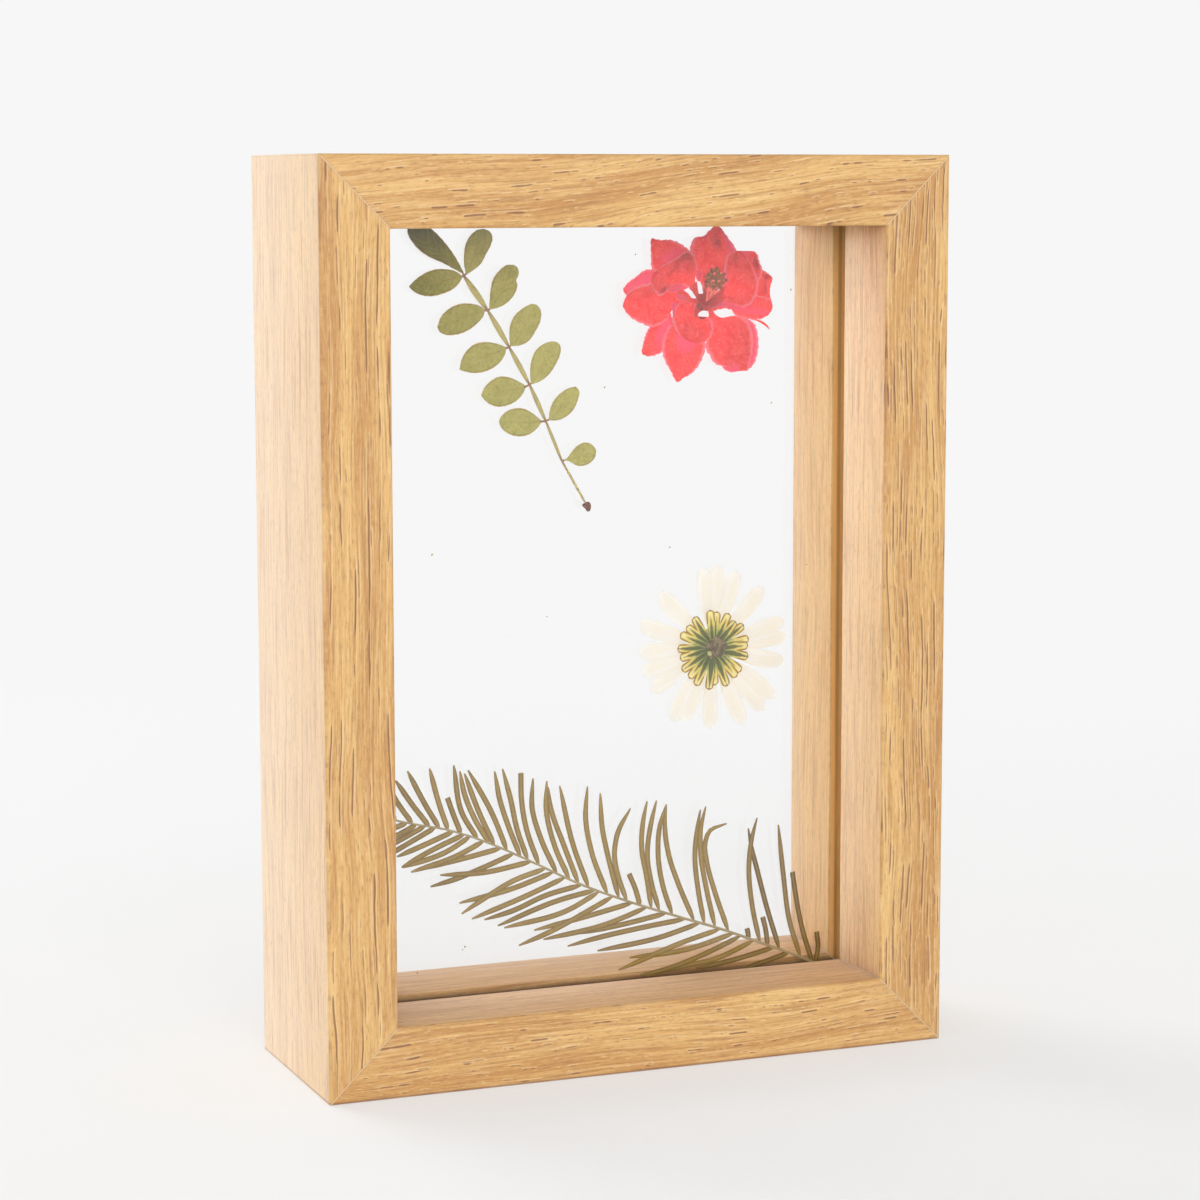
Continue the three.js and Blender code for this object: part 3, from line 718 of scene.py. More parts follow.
def leaf_finish():
    """Olive leaf. Its tone, shaken by a blotchy noise, takes it from olive to moss and on to dark. The
    side veins are a sine of the place along, which lags behind with the distance from the middle, so they
    slant. A fine net of veins, a reddish middle vein and a pale dry rim come on top."""
    leaf = Finish("dried_olive_leaf")
    across, along = surface_axes(leaf)
    tone = leaf.tone()
    from_middle = leaf.from_middle(across)
    slanted = leaf.maths("SUBTRACT", along, leaf.maths("MULTIPLY", from_middle, 0.5))
    wobble = leaf.noise(leaf.place(), 500, detail=3)
    shake = leaf.maths("MULTIPLY", wobble, RIB_WOBBLE)
    ribs = leaf.maths("SINE", leaf.maths("ADD", leaf.maths("MULTIPLY", slanted, RIBS), shake))
    net = leaf.noise(leaf.place(), 1900, detail=4, roughness=0.7)
    blotch = leaf.noise(leaf.place(), 420, detail=2)
    depth = leaf.maths("MULTIPLY_ADD", leaf.maths("SUBTRACT", blotch, 0.5), 0.5, tone)
    colour = leaf.mix(leaf.maths("MULTIPLY", depth, 2.0), LEAF_OLIVE, LEAF_MOSS)
    colour = leaf.mix(leaf.maths("MULTIPLY_ADD", depth, 2.0, -1.0), colour, LEAF_DARK)
    less_when_dark = leaf.ramp(tone, 0.2, 1.0, 1.0, 0.25)
    light_net = leaf.maths("MULTIPLY", leaf.ramp(net, 0.5, 0.75, 0.0, 0.5), less_when_dark)
    colour = leaf.mix(light_net, colour, LEAF_VEIN)
    colour = leaf.mix(leaf.ramp(net, 0.5, 0.28, 0.0, 0.4), colour, LEAF_DARK)
    colour = leaf.mix(leaf.ramp(ribs, 0.7, 1.0, 0.0, 0.16), colour, LEAF_VEIN)
    midrib = leaf.ramp(from_middle, 0.012, 0.035, 1.0, 0.0)
    red_marks = leaf.maths("MULTIPLY", leaf.ramp(along, 0.05, 0.8, 0.9, 0.1), leaf.ramp(net, 0.46, 0.56))
    colour = leaf.mix(leaf.maths("MULTIPLY", midrib, red_marks), colour, LEAF_RED)
    colour = leaf.mix(leaf.ramp(from_middle, 0.41, 0.46, 0.0, 0.35), colour, LEAF_DARK)
    colour = leaf.mix(leaf.ramp(from_middle, 0.455, 0.48, 0.0, 0.75), colour, LEAF_RIM)
    relief = leaf.maths("ADD", leaf.maths("MULTIPLY", ribs, 0.3), leaf.maths("ADD", midrib, net))
    return leaf.finish(see_through(leaf, colour, leaf.bump(relief, 0.35, 0.00005), 0.3))


def stem_finish():
    """Tan stem: its tone value reddens it at the nodes and browns it at the cut."""
    stem = Finish("dried_stem")
    tone = stem.tone()
    fibre = stem.noise(stem.place((1, 1, 0.5)), 1800, detail=3, roughness=0.6)
    colour = stem.mix(stem.ramp(fibre, 0.3, 0.7, 0.0, 0.5), STEM_TAN, LEAF_OLIVE)
    colour = stem.mix(stem.ramp(tone, 0.0, 0.6, 0.0, 0.85), colour, STEM_RED)
    colour = stem.mix(stem.ramp(tone, 0.7, 1.0, 0.0, 0.9), colour, SCAR_BROWN)
    return stem.finish(see_through(stem, colour, stem.bump(fibre, 0.4, 0.00005), 0.12))


olive_leaf = leaf_finish()
dried_stem = stem_finish()
print("leaf finish:", len(olive_leaf.node_tree.nodes), "nodes, stem:", len(dried_stem.node_tree.nodes))

# %% [markdown]
# Each leaflet is given by its left and its right edge, seen from its foot, in mm across and up from the
# middle of the frame's foot. Two more things are kept with it: the layer it lies in, so that crossing
# leaflets don't cut into each other, and how dark it is at its foot and at its tip. The two at the top are
# the darkest.

# %% Make the leaflets
LEAFLETS = [
    ([(-29.8, 156.3), (-31.2, 157), (-33.7, 158.3), (-36.3, 159.4), (-38.2, 160.6), (-39.8, 162.3),
      (-40.8, 164.2), (-40.5, 165.8), (-39.6, 166.5)],
     [(-29.5, 156.6), (-30.2, 157.9), (-31.4, 159.9), (-33, 162), (-34.7, 163.8), (-36.6, 165.4),
      (-38.6, 166.5), (-39.6, 166.5)],
     0, (0.45, 0.92)),
    ([(-29.6, 155.4), (-30.4, 154.2), (-31.6, 153.2), (-33.5, 152.4), (-36, 151.9), (-38.2, 152.2),
      (-39.7, 153), (-40.5, 153.8)],
     [(-29.8, 155.9), (-31, 156.7), (-33, 157.1), (-35, 157.1), (-37, 156.5), (-39, 155.3),
      (-40.5, 153.9)],
     1, (0.2, 0.72)),
    ([(-29.1, 156.2), (-29.4, 158), (-29.4, 160), (-29, 162), (-27.9, 163.7), (-26.6, 164.6),
      (-25.3, 164.8)],
     [(-28.7, 156.1), (-27.4, 156.9), (-26, 158), (-24.8, 160), (-23.9, 161.6), (-23.5, 163),
      (-24, 164.2), (-25.2, 164.8)],
     -1, (0.1, 0.14)),
    ([(-25, 148.9), (-25.3, 148), (-26.5, 146.6), (-28.5, 145.2), (-31, 144.4), (-33, 144.4),
      (-34.3, 145), (-34.8, 145.9)],
     [(-25, 149.2), (-26, 149.9), (-28, 150.4), (-30, 150.4), (-32, 149.7), (-34, 148), (-34.8, 146)],
     1, (0.18, 0.3)),
    ([(-24.3, 149.3), (-24.2, 151), (-24, 153), (-23.5, 155), (-22.2, 156.7), (-20.5, 157.8),
      (-19.3, 157.8)],
     [(-24, 149.2), (-22.5, 149.5), (-20.5, 150.5), (-18.9, 152.3), (-18.4, 153.9), (-18.65, 154.9),
      (-18.25, 155.5), (-18.1, 156.5), (-18.5, 157.4), (-19.2, 157.8)],
     -1, (0.16, 0.24)),
    ([(-20.6, 141.5), (-20.9, 140.4), (-22, 138.8), (-24, 137.5), (-26.5, 136.9), (-28.7, 137.1),
      (-30.3, 137.6)],
     [(-20.6, 141.8), (-22.5, 142.5), (-25, 142.9), (-27, 142.6), (-28.8, 141.3), (-29.9, 139.5),
      (-30.3, 137.8)],
     1, (0.1, 0.14)),
    ([(-20, 142.1), (-20.15, 144), (-20, 146), (-19, 148), (-17.2, 149.4), (-15.6, 150.2)],
     [(-19.7, 142), (-18, 142.1), (-16.3, 142.8), (-14.7, 144.8), (-13.6, 147), (-13.5, 148.6),
      (-14.3, 149.9), (-15.4, 150.2)],
     -1, (0.06, 0.1)),
    ([(-16.6, 133.9), (-17.1, 132.8), (-18.5, 131.3), (-20.5, 130.4), (-22.5, 130.2), (-24.5, 131),
      (-25.8, 132.3)],
     [(-16.6, 134.2), (-18, 135), (-20, 135.9), (-22, 136.1), (-24, 135.2), (-25.4, 133.7),
      (-25.9, 132.5)],
     1, (0.1, 0.12)),
    ([(-15.7, 134.7), (-15.85, 136.5), (-15.6, 139), (-14.7, 141), (-13, 142.3), (-11.4, 142.8)],
     [(-15.4, 134.5), (-14, 134.9), (-12, 136.2), (-10.5, 138.2), (-9.5, 140.3), (-9.4, 141.6),
      (-10, 142.5), (-11.2, 142.8)],
     -1, (0.0, 0.04)),
    ([(-13.3, 126.9), (-14.5, 125.5), (-16.5, 124.4), (-18.5, 124.3), (-20.5, 125), (-21.8, 126.2),
      (-22.2, 127.2)],
     [(-13.4, 127.3), (-15, 128.6), (-17, 129.7), (-19, 129.8), (-21, 129), (-22, 127.9),
      (-22.2, 127.4)],
     1, (0.06, 0.06)),
    ([(-12, 127.5), (-11.8, 129), (-11, 131), (-9.3, 132.7), (-7.5, 133.6), (-6.3, 133.8)],
     [(-11.9, 127.3), (-10.5, 127.2), (-8.5, 127.8), (-6.8, 129.2), (-5.8, 131.2), (-5.5, 132.8),
      (-6.1, 133.7)],
     -1, (0.0, 0.0)),
    ([(-8.8, 119.35), (-8.1, 119.8), (-7.1, 121), (-5.8, 122.2), (-4.2, 122.7), (-2.8, 122.2),
      (-2, 121.2)],
     [(-8.8, 119.15), (-8.1, 119.2), (-7.2, 118.8), (-6, 118.15), (-4.5, 118.1), (-3.1, 118.7),
      (-2.1, 119.9), (-1.9, 120.9)],
     -1, (0.0, 0.04)),
]
LEAFLET_THICKNESS = 0.16
LEAFLET_LAYER = 0.24


def make_leaflets():
    """A sheet between each pair of edges. The tone runs evenly from its value at the foot to that at the
    tip."""
    for number, (left, right, layer, (foot_tone, tip_tone)) in enumerate(LEAFLETS, start=1):
        depth = layer * LEAFLET_LAYER
        points, maps = sheet_rings(left, right, depth, LEAFLET_THICKNESS, rings=40, ripple=0.02,
                                   seed=number, ragged=0.025)
        tone = foot_tone + (tip_tone - foot_tone) * maps[..., 1]
        piece = ring_mesh(f"pressed_leaflet_{number:02d}", [points], olive_leaf, [maps], [tone])
        stand_for(piece, f"leaflet_{number:02d}")
    print(len(LEAFLETS), "leaflets")


make_leaflets()

# %% [markdown]
# The stem is one ring stack, carried through all its nodes: its half width swells and pinches as the size
# of a sine that touches zero at each node. A short reddish stalk joins each leaflet to its node. The stem
# ends in a small thick scar where it was pulled from its twig.

# %% Make the stem of the sprig
SPRIG_NODES = [(-29.4, 155.8), (-24.5, 149), (-20.1, 141.8), (-15.9, 134.4), (-12.5, 127.1),
               (-9.2, 119.3), (-3.9, 110.2)]
SEGMENT_WIDTHS = [1.35, 1.15, 1.05, 0.95, 0.7, 0.5]
STEM_PINCH = 0.36
STEM_THICKNESS = 0.45
RINGS_PER_SEGMENT = 12
STEM_SIDES = 10
STALK_HALF_WIDTH = 0.2
STALK_HALF_THICKNESS = 0.1
STALK_RINGS = 6
STALK_REACH = 0.35
SCAR_LEFT = [(-4.1, 110.9), (-4.9, 110.2), (-4.3, 109.6), (-3.8, 108.9)]
SCAR_RIGHT = [(-4.1, 110.9), (-3.3, 110.8), (-2.95, 109.8), (-3.2, 109)]


def oval_rings(middle, half_width, half_thickness, depth, sides=8):
    """Carries an oval along a line in the plane of the glass. Each ring is the line's point plus the
    cosine times the half width across the line, and the sine times the half thickness through the
    glass."""
    along = np.gradient(middle, axis=0)
    along /= np.linalg.norm(along, axis=1)[:, None]
    across = np.stack([-along[:, 1], along[:, 0]], axis=1)
    angle = np.arange(sides) * 2 * math.pi / sides
    reach = half_width[:, None] * np.cos(angle)[None, :]
    x = middle[:, :1] + across[:, :1] * reach
    z = middle[:, 1:] + across[:, 1:] * reach
    y = depth + half_thickness[:, None] * np.sin(angle)[None, :]
    return np.stack([x, y, z], axis=-1)


def make_sprig_stem():
    """Between two nodes the width is the pinch plus a sine to the power 0.8. The redness falls from 0.6
    at a node to 0 a fifth of the way to the next. Each stalk runs from its node a little way into its
    leaflet."""
    nodes = np.array(SPRIG_NODES)
    share = np.linspace(0, 1, RINGS_PER_SEGMENT, endpoint=False)
    starts, ends = nodes[:-1, None, :], nodes[1:, None, :]
    middle = (starts + (ends - starts) * share[None, :, None]).reshape(-1, 2)
    swell = np.abs(np.sin(math.pi * share)) ** 0.8
    width = (STEM_PINCH + (np.array(SEGMENT_WIDTHS)[:, None] - STEM_PINCH) * swell[None, :]).ravel()
    redness = np.tile(0.6 * np.clip(1 - 5 * np.minimum(share, 1 - share), 0, 1), len(SEGMENT_WIDTHS))
    thickness = np.full(len(middle), STEM_THICKNESS / 2)
    stem = oval_rings(middle, width / 2, thickness, 0.0, sides=STEM_SIDES)
    scar, _ = sheet_rings(SCAR_LEFT, SCAR_RIGHT, 0.0, STEM_THICKNESS, rings=10, across=7)
    stalk_width = np.full(STALK_RINGS, STALK_HALF_WIDTH)
    stalk_thickness = np.full(STALK_RINGS, STALK_HALF_THICKNESS)
    stalks = []
    for left, right, _, _ in LEAFLETS:
        foot = (np.array(left[0]) + np.array(right[0])) / 2
        node = nodes[np.argmin(np.linalg.norm(nodes - foot, axis=1))]
        line = smooth_line([node, foot + STALK_REACH * (foot - node)], STALK_RINGS)
        stalks.append(oval_rings(line, stalk_width, stalk_thickness, 0.0))
    tones = [np.repeat(redness[:, None], STEM_SIDES, axis=1), np.ones(scar.shape[:2])]
    tones += [np.full(stalk.shape[:2], 0.55) for stalk in stalks]
    piece = ring_mesh("pressed_sprig_stem", [stem, scar, *stalks], dried_stem, None, tones)
    stand_for(piece, "sprig_stem")
    print("stem:", len(piece.data.polygons), "faces")


make_sprig_stem()

# %% [markdown]
# ## The red flower
# Fourteen petals were pressed flat over one another. They are so thin that light comes through: one petal
# alone is bright coral, and two together are a deeper red. That is why each petal scatters light through as
# well as back, and lies in its own layer. Nothing has to be painted darker where they cross.

# %% Petal finish
PETAL_CORAL = linear(255, 104, 100)
PETAL_DEEP = linear(240, 66, 70)
PETAL_PINK = linear(250, 112, 148)
PETAL_RIM = linear(255, 168, 184)
PETAL_BROWN = linear(158, 60, 62)
FLOWER_CENTRE = (21.6, 150.6)


def petal_finish():
    """Coral with fine veins from foot to tip and a pink rim. A tone above 0 makes it pinker and one below 0
    browner, and it browns within about 4 mm of the flower's centre."""
    petal = Finish("dried_red_petal")
    across, along = surface_axes(petal)
    tone = petal.tone()
    streak_place = petal.node("ShaderNodeCombineXYZ", X=petal.maths("MULTIPLY", across, 30.0),
                              Y=petal.maths("MULTIPLY", along, 3.0))
    streaks = petal.noise(streak_place.outputs[0], 1.0, detail=3, roughness=0.6)
    cloud = petal.noise(petal.place(), 500, detail=3)
    grain = petal.noise(petal.place(), 2300, detail=4, roughness=0.7)
    colour = petal.mix(petal.ramp(cloud, 0.42, 0.66, 0.0, 0.6), PETAL_CORAL, PETAL_DEEP)
    colour = petal.mix(petal.ramp(streaks, 0.5, 0.66, 0.0, 0.45), colour, PETAL_DEEP)
    colour = petal.mix(petal.ramp(grain, 0.5, 0.34, 0.0, 0.6), colour, PETAL_DEEP)
    colour = petal.mix(petal.ramp(grain, 0.54, 0.7, 0.0, 0.6), colour, PETAL_RIM)
    rough_tone = petal.maths("MULTIPLY_ADD", petal.maths("SUBTRACT", grain, 0.5), 0.5, tone)
    colour = petal.mix(petal.ramp(rough_tone, 0.1, 0.8, 0.0, 0.8), colour, PETAL_PINK)
    colour = petal.mix(petal.ramp(rough_tone, -0.1, -0.9, 0.0, 0.55), colour, PETAL_BROWN)
    from_middle = petal.from_middle(across)
    colour = petal.mix(petal.ramp(from_middle, 0.4, 0.47, 0.0, 0.65), colour, PETAL_RIM)
    centre = tuple(-c * MM for c in (FLOWER_CENTRE[0], 0, FLOWER_CENTRE[1]))
    reach = petal.node("ShaderNodeVectorMath", {"operation": "LENGTH"})
    petal.feed(reach.inputs[0], petal.place((1, 1, 1), centre))
    heart = petal.ramp(petal.maths("ADD", reach.outputs["Value"], petal.maths("MULTIPLY", cloud, 0.004)),
                       0.002, 0.0058, 0.55, 0.0)
    colour = petal.mix(heart, colour, PETAL_BROWN)
    relief = petal.maths("ADD", streaks, grain)
    return petal.finish(see_through(petal, colour, petal.bump(relief, 0.4, 0.00006), 0.42, roughness=0.7))


red_petal = petal_finish()
print("petal finish:", len(red_petal.node_tree.nodes), "nodes")

# %% [markdown]
# A pressed petal keeps the outline it had when the press closed, folds and nicks and all, so no formula
# gives it. Each petal is drawn like a leaflet, by the layer it lies in, counted from the front, and its two
# edges. It also has a few soft spots, each with its place across and along, its reach and its strength. A
# strength above 0 is a pink bruise, where the petal is thinnest, and one below 0 a brown one.

# %% Make the petals
PETALS = {
    "top": (2,
        [(21.3, 150.8), (21, 152.6), (20.5, 154.3), (19, 158), (18.3, 160.2), (18.7, 162),
         (19.6, 162.9), (21, 163), (22.3, 164), (23.5, 165.1)],
        [(22.6, 151), (24.8, 152.8), (27.2, 156.5), (28.4, 160), (26.5, 162.8), (25.3, 164.3),
         (24.5, 165.1)]),
    "upper_left": (4,
        [(17.5, 155.6), (13.5, 156.2), (10.4, 156.5), (10, 159.5), (9.95, 162.4)],
        [(19.6, 156.2), (19.3, 158.5), (18.3, 160.2), (17.2, 161.1), (16, 161.8), (14, 162.4),
         (12, 162.35), (10.3, 162.75)]),
    "inner_left": (1,
        [(19.2, 151.7), (17.4, 153.2), (14, 152.7), (11.6, 151.3), (10.3, 152.6), (10, 153.8),
         (10, 154.9)],
        [(19.35, 154.3), (19.6, 157.3), (19, 159.5), (18.2, 160.2), (15, 158.7), (12, 157.2),
         (10.4, 155.7)]),
    "left_small": (3,
        [(12, 151.8), (8, 151.2), (4.9, 151.3), (4.05, 152.3)],
        [(13.4, 153.5), (12.5, 155.5), (10.2, 156.6), (8.5, 156.4), (6.8, 155.2), (5, 154), (4, 152.9)]),
    "left": (2,
        [(16.8, 149.4), (14.6, 148.6), (13.2, 146.5), (10, 145.2), (8, 145.9), (6.6, 146.5),
         (5.4, 147.3), (4.4, 148.4), (3.85, 149.3)],
        [(18.3, 150.5), (16.3, 152.2), (13, 153.8), (10, 154), (7, 153.3), (5.6, 152.6), (4.6, 151.6),
         (4.1, 150.4), (3.8, 149.6)]),
    "lower_left": (4,
        [(12, 147.3), (9.7, 145.2), (8.9, 143.8), (8.3, 141.8), (8, 140.4)],
        [(14.4, 147.8), (14.8, 145.4), (13, 143), (12.4, 140.2), (11, 139.6), (9.3, 139.4),
         (8.2, 139.8)]),
    "bottom_left": (3,
        [(16, 146.6), (14.2, 145.6), (12.5, 142.7), (12.4, 140.2), (13.2, 138), (14.3, 136.2),
         (14.9, 135), (15.4, 134.2)],
        [(19.5, 145.6), (21.4, 143), (21.8, 140.9), (21.2, 139), (20.2, 137.2), (18.5, 135.6),
         (17, 134.9), (15.9, 134.1)]),
    "bottom_centre": (1,
        [(17.5, 150.3), (15.4, 149.5), (14.5, 148), (14.45, 146.3), (15, 144.6), (16.5, 143),
         (18.2, 142.2)],
        [(19.6, 149.9), (19.6, 147.4), (20.6, 146.6), (22.2, 147), (23.3, 145.2), (23.2, 143.9),
         (22.2, 142.4), (20.5, 141.8), (19, 142)]),
    "bottom_right": (2,
        [(22.3, 148.3), (22.3, 146.5), (22.4, 144.5), (22, 142.5), (21.7, 140.9), (22.6, 139.3),
         (23.6, 137.8), (26, 137), (27.6, 136.7), (29, 136.3)],
        [(23.3, 147.7), (25.3, 146.8), (27.2, 147.1), (29, 147.1), (31, 146), (32, 143.5),
         (32.05, 140.5), (31.5, 138), (30.9, 136.1), (29.8, 136.1)]),
    "bottom_right_under": (4,
        [(27.5, 146), (27, 142), (26, 138.5), (25.6, 136.8), (26.5, 136.1), (27.6, 135.8)],
        [(30.4, 146.8), (32.6, 145.4), (33.3, 143.5), (33.5, 141), (33.2, 139), (32.4, 137.2),
         (31, 136.2), (29.2, 136)]),
    "right_lower": (3,
        [(22.3, 149), (23.4, 148.2), (25, 148.5), (26.4, 148.6), (27.4, 148.3), (28.2, 147.3),
         (30.3, 146.6), (33, 146.2), (34.3, 146.5), (35.6, 147.2), (36.2, 147.9)],
        [(23, 151.2), (27, 151.2), (31, 151.3), (34, 151), (36.2, 150), (36.5, 149), (36.45, 148.4)]),
    "right": (1,
        [(24, 151.2), (25.2, 154), (25.6, 156.5), (26.5, 159.4), (28.3, 160)],
        [(24, 149.7), (26.6, 150.3), (28.2, 149.3), (29.8, 148.8), (31.4, 149.3), (32.6, 150.9),
         (33.2, 153.5), (32.3, 156), (31.2, 158), (30.2, 159.3), (29, 159.9)]),
    "upper_right": (4,
        [(28.5, 154.5), (27.6, 157.5), (28.4, 160), (30, 160)],
        [(31, 153), (33.4, 153.8), (34.3, 156.2), (33.6, 157.9), (33.2, 159.3), (32.5, 159.9),
         (31.2, 160)]),
    "far_right": (5,
        [(31.2, 152.6), (32.2, 154.8), (34.3, 156.2), (35.5, 155.6), (36.4, 154.9)],
        [(32.6, 150.6), (34.8, 149.7), (36.5, 149.5), (36.1, 151), (36.1, 152.5), (36.7, 154.4)]),
}
PETAL_TONES = {
    "top": [(0.95, 0.75, 0.16, 1.2), (0.95, 0.55, 0.13, 0.9), (0.45, 0.82, 0.17, -0.4),
            (0.6, 0.7, 0.1, -0.7)],
    "upper_left": [(0.3, 0.2, 0.35, 0.9), (0.7, 0.35, 0.3, 0.6)],
    "inner_left": [(0.85, 0.45, 0.16, -0.8), (0.6, 0.6, 0.12, -0.5), (0.15, 0.62, 0.1, -0.8)],
    "left_small": [(0.5, 0.5, 0.6, 0.9)],
    "left": [(0.9, 0.2, 0.2, 0.4)],
    "lower_left": [(0.8, 0.3, 0.4, 0.9)],
    "bottom_left": [(0.6, 0.15, 0.25, 1.0), (0.5, 0.3, 0.2, 0.7)],
    "bottom_centre": [(0.5, 0.1, 0.2, 0.4)],
    "bottom_right": [(0.3, 0.95, 0.2, 0.7), (0.1, 0.1, 0.2, 0.6)],
    "bottom_right_under": [(0.5, 0.5, 0.8, 1.1)],
    "right_lower": [(0.4, 0.5, 0.3, 0.6), (0.3, 0.9, 0.2, 0.5)],
    "right": [(0.1, 0.4, 0.15, 0.6), (0.3, 0.8, 0.15, -0.5)],
    "upper_right": [(0.5, 0.85, 0.2, 0.9), (0.85, 0.6, 0.15, -0.9)],
    "far_right": [(0.3, 0.8, 0.2, -0.8), (0.6, 0.5, 0.2, -0.5), (0.9, 0.9, 0.1, 0.6)],
}
PETAL_LAYER = 0.18
PETAL_THICKNESS = 0.09
MIDDLE_LAYER = 2.5


def petal_tone(maps, spots):
    """The sum of the petal's spots. Each is its strength times e to the power of minus the square of the
    distance from its place, measured in its own reach."""
    return sum(strength * np.exp(-((maps[..., 0] - across) ** 2 + (maps[..., 1] - along) ** 2) / reach**2)
               for across, along, reach, strength in spots)


def make_petals():
    """A sheet between each pair of edges, its layer's depth counted from the middle one."""
    for number, (name, (layer, left, right)) in enumerate(PETALS.items()):
        depth = (layer - MIDDLE_LAYER) * PETAL_LAYER
        points, maps = sheet_rings(left, right, depth, PETAL_THICKNESS, rings=56, across=19, ripple=0.02,
                                   seed=number, ragged=0.08)
        tone = petal_tone(maps, PETAL_TONES[name])
        piece = ring_mesh(f"pressed_petal_{name}", [points], red_petal, [maps], [tone])
        stand_for(piece, f"petal_{name}")
    print(len(PETALS), "petals")


make_petals()

# %% [markdown]
# Small dry things are made in two ways. A grain or a thread is an oval swept from end to end, rounded off
# at both. A scar or a floret is a low bun, round or a little lobed. They share one rough finish of two
# mixed browns.

# %% Grains, buns and their rough finish
BLUNT_END = 0.12
BUN_RINGS = 9


def heart_finish(name, dark, pale, scale):
    """Rough brown grains: two browns mixed by a fine noise, with a little relief."""
    grain = Finish(name)
    speckle = grain.noise(grain.place(), scale, detail=3, roughness=0.65)
    colour = grain.mix(grain.ramp(speckle, 0.35, 0.65), dark, pale)
    return grain.finish(see_through(grain, colour, grain.bump(speckle, 0.6, 0.0001), 0.15, roughness=0.8))


def grain_rings(ends, half_width, half_thickness, depth, rings=9):
    """An oval swept from end to end. Its width and thickness follow half a sine to the power 0.6, so that
    both ends round off."""
    line = smooth_line(ends, rings)
    swell = np.sin(np.linspace(BLUNT_END, math.pi - BLUNT_END, rings)) ** 0.6
    return oval_rings(line, half_width * swell, half_thickness * swell, depth)


def disc_rings(centre, radius, depth, half_thickness, sides=28, bumps=0.0):
    """A low flat bun. Its rings swell and shrink as the fourth root of 1 - h^2 while h runs from -1 at
    the front to 1 at the back, and two sines of the angle make the rim uneven."""
    height = np.sin(np.linspace(-math.pi / 2, math.pi / 2, BUN_RINGS))
    size = radius * (0.08 + 0.92 * np.sqrt(1 - height**2) ** 0.5)
    angle = np.arange(sides) * 2 * math.pi / sides
    uneven = 1 + bumps * np.sin(5 * angle) + 0.6 * bumps * np.sin(9 * angle + 1)
    x = centre[0] + size[:, None] * (uneven * np.cos(angle))[None, :]
    z = centre[1] + size[:, None] * (uneven * np.sin(angle))[None, :]
    y = np.broadcast_to((depth + half_thickness * height)[:, None], x.shape)
    return np.stack([x, y, z], axis=-1)


test_bun = disc_rings((0, 0), 1.0, 0.0, 0.1)
print("a bun is", test_bun.shape[0], "rings of", test_bun.shape[1], "points")

# %% [markdown]
# At the heart of the flower the petals' narrow claws run together, with slits of bare glass between them.
# On them lie the brown stamens, the stub of the pistil and, at the right, one thin curled spur. The stamens
# are flattened grains, crowded together on pale threads. The crowd is set out by the golden angle, as seeds
# are, and then shaken a little. Behind it lies one thin lobed bun, so no bright petal shows between the
# grains.

# %% The crowd of stamens
ANTHER_DARK = linear(112, 84, 54)
ANTHER_BROWN = linear(186, 110, 82)
FILAMENT_CORAL = linear(255, 150, 132)
GOLDEN_ANGLE = 2.39996
FRONT_LAYER = -0.47
CROWD_CENTRE = np.array([23.6, 154.5])
CROWD_RADII = (2.3, 2.15)
CROWD_COUNT = 35
BACKING_RADIUS = 1.95
BACKING_HALF_THICKNESS = 0.015
THREAD_COUNT = 9
THREAD_SPREAD = 1.9
ANTHER_HALF_WIDTH = 0.34
ANTHER_HALF_THICKNESS = 0.04
THREAD_HALF_WIDTH = 0.1
THREAD_HALF_THICKNESS = 0.03
BIT_HALF_LENGTH = 0.34
BIT_HALF_WIDTH = 0.2
BIT_PLACES = [(23.4, 155.6), (24.9, 155.7), (22.7, 152.4), (24, 152.7), (24.4, 152.1), (23.6, 151.9),
              (23.2, 154.2), (24.4, 154.1)]


def crowd_of_stamens():
    """Grain k lies at the golden angle times k, at a radius that grows as the root of k, and is turned
    its own way. The threads run from the crowd to just under the flower's centre. A few broken bits of
    thread lie on the grains."""
    random = np.random.default_rng(5)
    k = np.arange(CROWD_COUNT)
    angle = k * GOLDEN_ANGLE
    spread = np.sqrt((k + 0.5) / CROWD_COUNT)[:, None]
    out = np.stack([np.cos(angle), np.sin(angle)], 1) * CROWD_RADII
    middles = CROWD_CENTRE + spread * out + random.uniform(-0.15, 0.15, (CROWD_COUNT, 2))
    turns = random.uniform(0, math.pi, CROWD_COUNT)
    reach = random.uniform(0.28, 0.5, CROWD_COUNT)[:, None] * np.stack([np.cos(turns), np.sin(turns)], 1)
    grains = [grain_rings((middle - arm, middle + arm), ANTHER_HALF_WIDTH, ANTHER_HALF_THICKNESS,
                          FRONT_LAYER) for middle, arm in zip(middles, reach)]
    grains.append(disc_rings(CROWD_CENTRE, BACKING_RADIUS, FRONT_LAYER + 0.045, BACKING_HALF_THICKNESS,
                             sides=22, bumps=0.1))
    sideways = np.linspace(-THREAD_SPREAD, THREAD_SPREAD, THREAD_COUNT)
    starts = CROWD_CENTRE + np.stack([sideways, random.uniform(-2, 1, THREAD_COUNT)], 1)
    centre = np.array(FLOWER_CENTRE) - (0, 0.6)
    threads = [grain_rings((start, (start + centre) / 2 + (0.2, 0.1), centre), THREAD_HALF_WIDTH,
                           THREAD_HALF_THICKNESS, FRONT_LAYER + 0.05, rings=12) for start in starts]
    slants = random.uniform(0.2, 1.2, len(BIT_PLACES))
    bits = BIT_HALF_LENGTH * np.stack([np.cos(slants), np.sin(slants)], 1)
    threads += [grain_rings((place - bit, place + bit), BIT_HALF_WIDTH, THREAD_HALF_THICKNESS,
                            FRONT_LAYER - 0.04) for place, bit in zip(np.array(BIT_PLACES), bits)]
    return grains, threads


